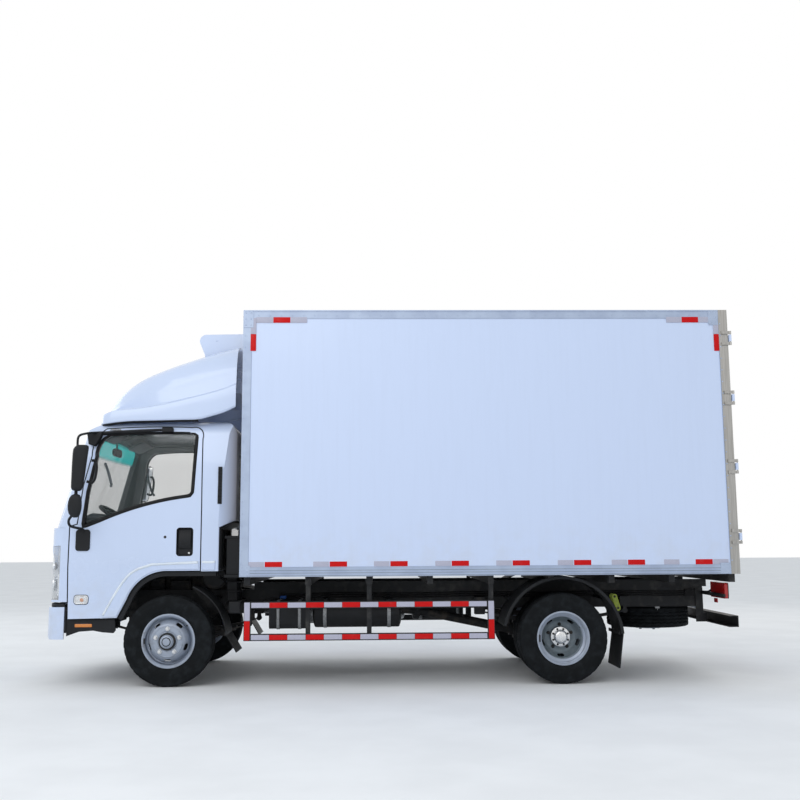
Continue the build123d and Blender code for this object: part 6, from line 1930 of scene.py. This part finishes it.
class TRUCK_OT_rear_end(Step, Operator):
    """Lamp lenses and rims, plates with a lamp, reflectors and stripes of the rear end."""
    bl_idname = "truck.rear_end"
    bl_label = "Rear end"

    def make(self):
        red, amber, white, rims, stripes = Form(), Form(), Form(), Form(), Form()
        for side in (-1, 1):
            for form, y0, y1 in ((amber, 880, 975), (red, 750, 872), (white, 632, 742)):
                form.end_plate(rounded(y0, y1, 710, 824, 12), 4796.3, 4806, (4811, -8), side=side)
            rims.end_plate(rounded(621, 985, 700, 834, 16), 4796.2, 4803, (4803, -8), (4796.2, -9),
                           side=side, caps=False)
            stripes.boxes([(4880.2, 4881, side * y, side * (y + 90), 470, 546) for y in (180, 380, 580, 780)])
            rims.hose([(4775, side * 620, 760), (4765, side * 560, 740), (4755, side * 420, 735)], 9, 8)
            red.end_plate(rounded(700, 780, 655, 693, 8), 4768, 4776, side=side)
        red.show("stop_lenses", "chassis", "red_lens", bevel=1)
        amber.show("turn_lenses", "chassis", "lamp_lens", "amber_lens", bevel=1)
        white.show("reverse_lenses", "chassis", "lamp_lens", "white_lens", bevel=1)
        rims.show("lamp_rims", "chassis", "black_plastic", thick=1)
        stripes.show("underrun_stripes", "chassis", "red_lens", "tape_red")
        plate = Form().end_plate(rounded(-220, 220, 566, 700, 10), 4776, 4780, (4781, -4))
        plate.skin([[(4768, y, z) for y, z in oblong(0, 715, 90, 15)],
                    [(4800, y, z) for y, z in oblong(0, 716, 80, 10)]])
        front = rounded(-220, 220, 470, 604, 10)
        plate.skin([[(x + (y / 850) ** 2 * 55, y, z) for y, z in front] for x in (-1099.4, -1092)])
        plate.show("plates", "chassis", "edge_trim", "moulding_white", bevel=0.5)


class TRUCK_OT_stage(Step, Operator):
    """Pale floor, soft light and the photograph's camera."""
    bl_idname = "truck.stage"
    bl_label = "Stage"

    FOCAL = 988.58
    FRAME = 800.0
    SENSOR = 36.0
    SPOT = (1776.8, -9592.3, 1195.5)
    YAW, PITCH, ROLL = 1.3386, 8.204, -0.3415
    FLOOR = 60000.0

    def floor(self):
        size = self.FLOOR
        form = Form().patch([[(-size, -size, 0), (size, -size, 0)], [(-size, size, 0), (size, size, 0)]])
        mesh = bpy.data.meshes.new("floor")
        mesh.from_pydata([at(*p) for p in form.points], [], form.faces)
        floor = bpy.data.objects.new("floor", mesh)
        bpy.context.scene.collection.objects.link(floor)
        mesh.materials.append(finish("floor_pale"))

    def light(self, name, spot, target, size, power, tint):
        lamp = bpy.data.lights.new(name, "AREA")
        lamp.shape = "RECTANGLE"
        lamp.size, lamp.size_y = size
        lamp.energy = power
        lamp.color = tint
        holder = bpy.data.objects.new(name, lamp)
        holder.location = at(*spot)
        holder.rotation_euler = (at(*target) - at(*spot)).to_track_quat("-Z", "Y").to_euler()
        bpy.context.scene.collection.objects.link(holder)

    def sky(self):
        """White where the camera, glass or a reflection looks, and a softer blue for the light it gives."""
        world = bpy.data.worlds.new("studio")
        bpy.context.scene.world = world
        world.use_nodes = True
        tree = world.node_tree
        seen = tree.nodes.new("ShaderNodeLightPath")
        soft = tree.nodes["Background"]
        white = tree.nodes.new("ShaderNodeBackground")
        for node, colour, strength in ((soft, (0.90, 0.95, 1.0, 1.0), 0.72), (white, (1, 1, 1, 1), 1.0)):
            node.inputs["Color"].default_value = colour
            node.inputs["Strength"].default_value = strength
        mix = tree.nodes.new("ShaderNodeMixShader")
        either, third = (tree.nodes.new("ShaderNodeMath") for _ in range(2))
        either.operation = third.operation = "MAXIMUM"
        for start, end in ((seen.outputs["Is Camera Ray"], either.inputs[0]),
                           (seen.outputs["Is Transmission Ray"], either.inputs[1]),
                           (either.outputs[0], third.inputs[0]),
                           (seen.outputs["Is Glossy Ray"], third.inputs[1]),
                           (third.outputs[0], mix.inputs[0]), (soft.outputs[0], mix.inputs[1]),
                           (white.outputs[0], mix.inputs[2]),
                           (mix.outputs[0], tree.nodes["World Output"].inputs["Surface"])):
            tree.links.new(start, end)

    def camera(self):
        lens = bpy.data.cameras.new("camera")
        lens.sensor_width = self.SENSOR
        lens.lens = self.FOCAL / self.FRAME * self.SENSOR
        lens.clip_end = 200
        holder = bpy.data.objects.new("camera", lens)
        yaw, pitch, roll = (radians(v) for v in (self.YAW, self.PITCH, self.ROLL))
        ahead = Vector((sin(yaw) * cos(pitch), cos(yaw) * cos(pitch), sin(pitch)))
        level = Vector((cos(yaw), -sin(yaw), 0))
        above = level.cross(ahead)
        right = level * cos(roll) + above * sin(roll)
        up = above * cos(roll) - level * sin(roll)
        turn = Matrix((right, up, -ahead)).transposed().to_4x4()
        holder.matrix_world = Matrix.Translation(at(*self.SPOT)) @ turn
        bpy.context.scene.collection.objects.link(holder)
        bpy.context.scene.camera = holder

    def make(self):
        bpy.context.scene.view_settings.view_transform = "Standard"
        self.floor()
        self.sky()
        self.light("key", (-2500, -9000, 7500), (2000, 0, 1500), (9, 6), 330, (1.0, 1.0, 1.0))
        self.light("rear_fill", (9000, 6000, 6500), (3000, 0, 1500), (7, 5), 100, (1.0, 0.95, 0.88))
        self.light("front_fill", (-7500, 4000, 5000), (-500, 0, 1500), (6, 4), 90, (0.92, 0.96, 1.0))
        self.camera()


STEPS = (
    TRUCK_OT_stage, TRUCK_OT_coats, TRUCK_OT_tyres, TRUCK_OT_window_seals, TRUCK_OT_door_fittings,
    TRUCK_OT_mirrors, TRUCK_OT_front_face, TRUCK_OT_fairing, TRUCK_OT_cab_rear, TRUCK_OT_box_tape,
    TRUCK_OT_wheels, TRUCK_OT_wheel_fittings, TRUCK_OT_cooling_unit, TRUCK_OT_cargo_box, TRUCK_OT_cabin,
    TRUCK_OT_underbody, TRUCK_OT_rear_end,
)


class TRUCK_PT_panel(Panel):
    """Lists the truck's steps and settings in the sidebar."""
    bl_idname = "TRUCK_PT_panel"
    bl_label = "Refrigerated truck"
    bl_space_type = "VIEW_3D"
    bl_region_type = "UI"
    bl_category = "Truck"

    def draw(self, context):
        for group in (context.scene.truck_colours, context.scene.truck_sizes):
            for key in group.__annotations__:
                self.layout.prop(group, key)
        for step in STEPS:
            self.layout.operator(step.bl_idname)


CLASSES = (TruckColours, TruckSizes, *STEPS, TRUCK_PT_panel)


def register():
    for made in CLASSES:
        bpy.utils.register_class(made)
    bpy.types.Scene.truck_colours = PointerProperty(type=TruckColours)
    bpy.types.Scene.truck_sizes = PointerProperty(type=TruckSizes)


def unregister():
    del bpy.types.Scene.truck_sizes
    del bpy.types.Scene.truck_colours
    for made in reversed(CLASSES):
        bpy.utils.unregister_class(made)


def main():
    register()
    for step in STEPS:
        group, name = step.bl_idname.split(".")
        getattr(getattr(bpy.ops, group), name)()


if __name__ == "__main__":
    main()
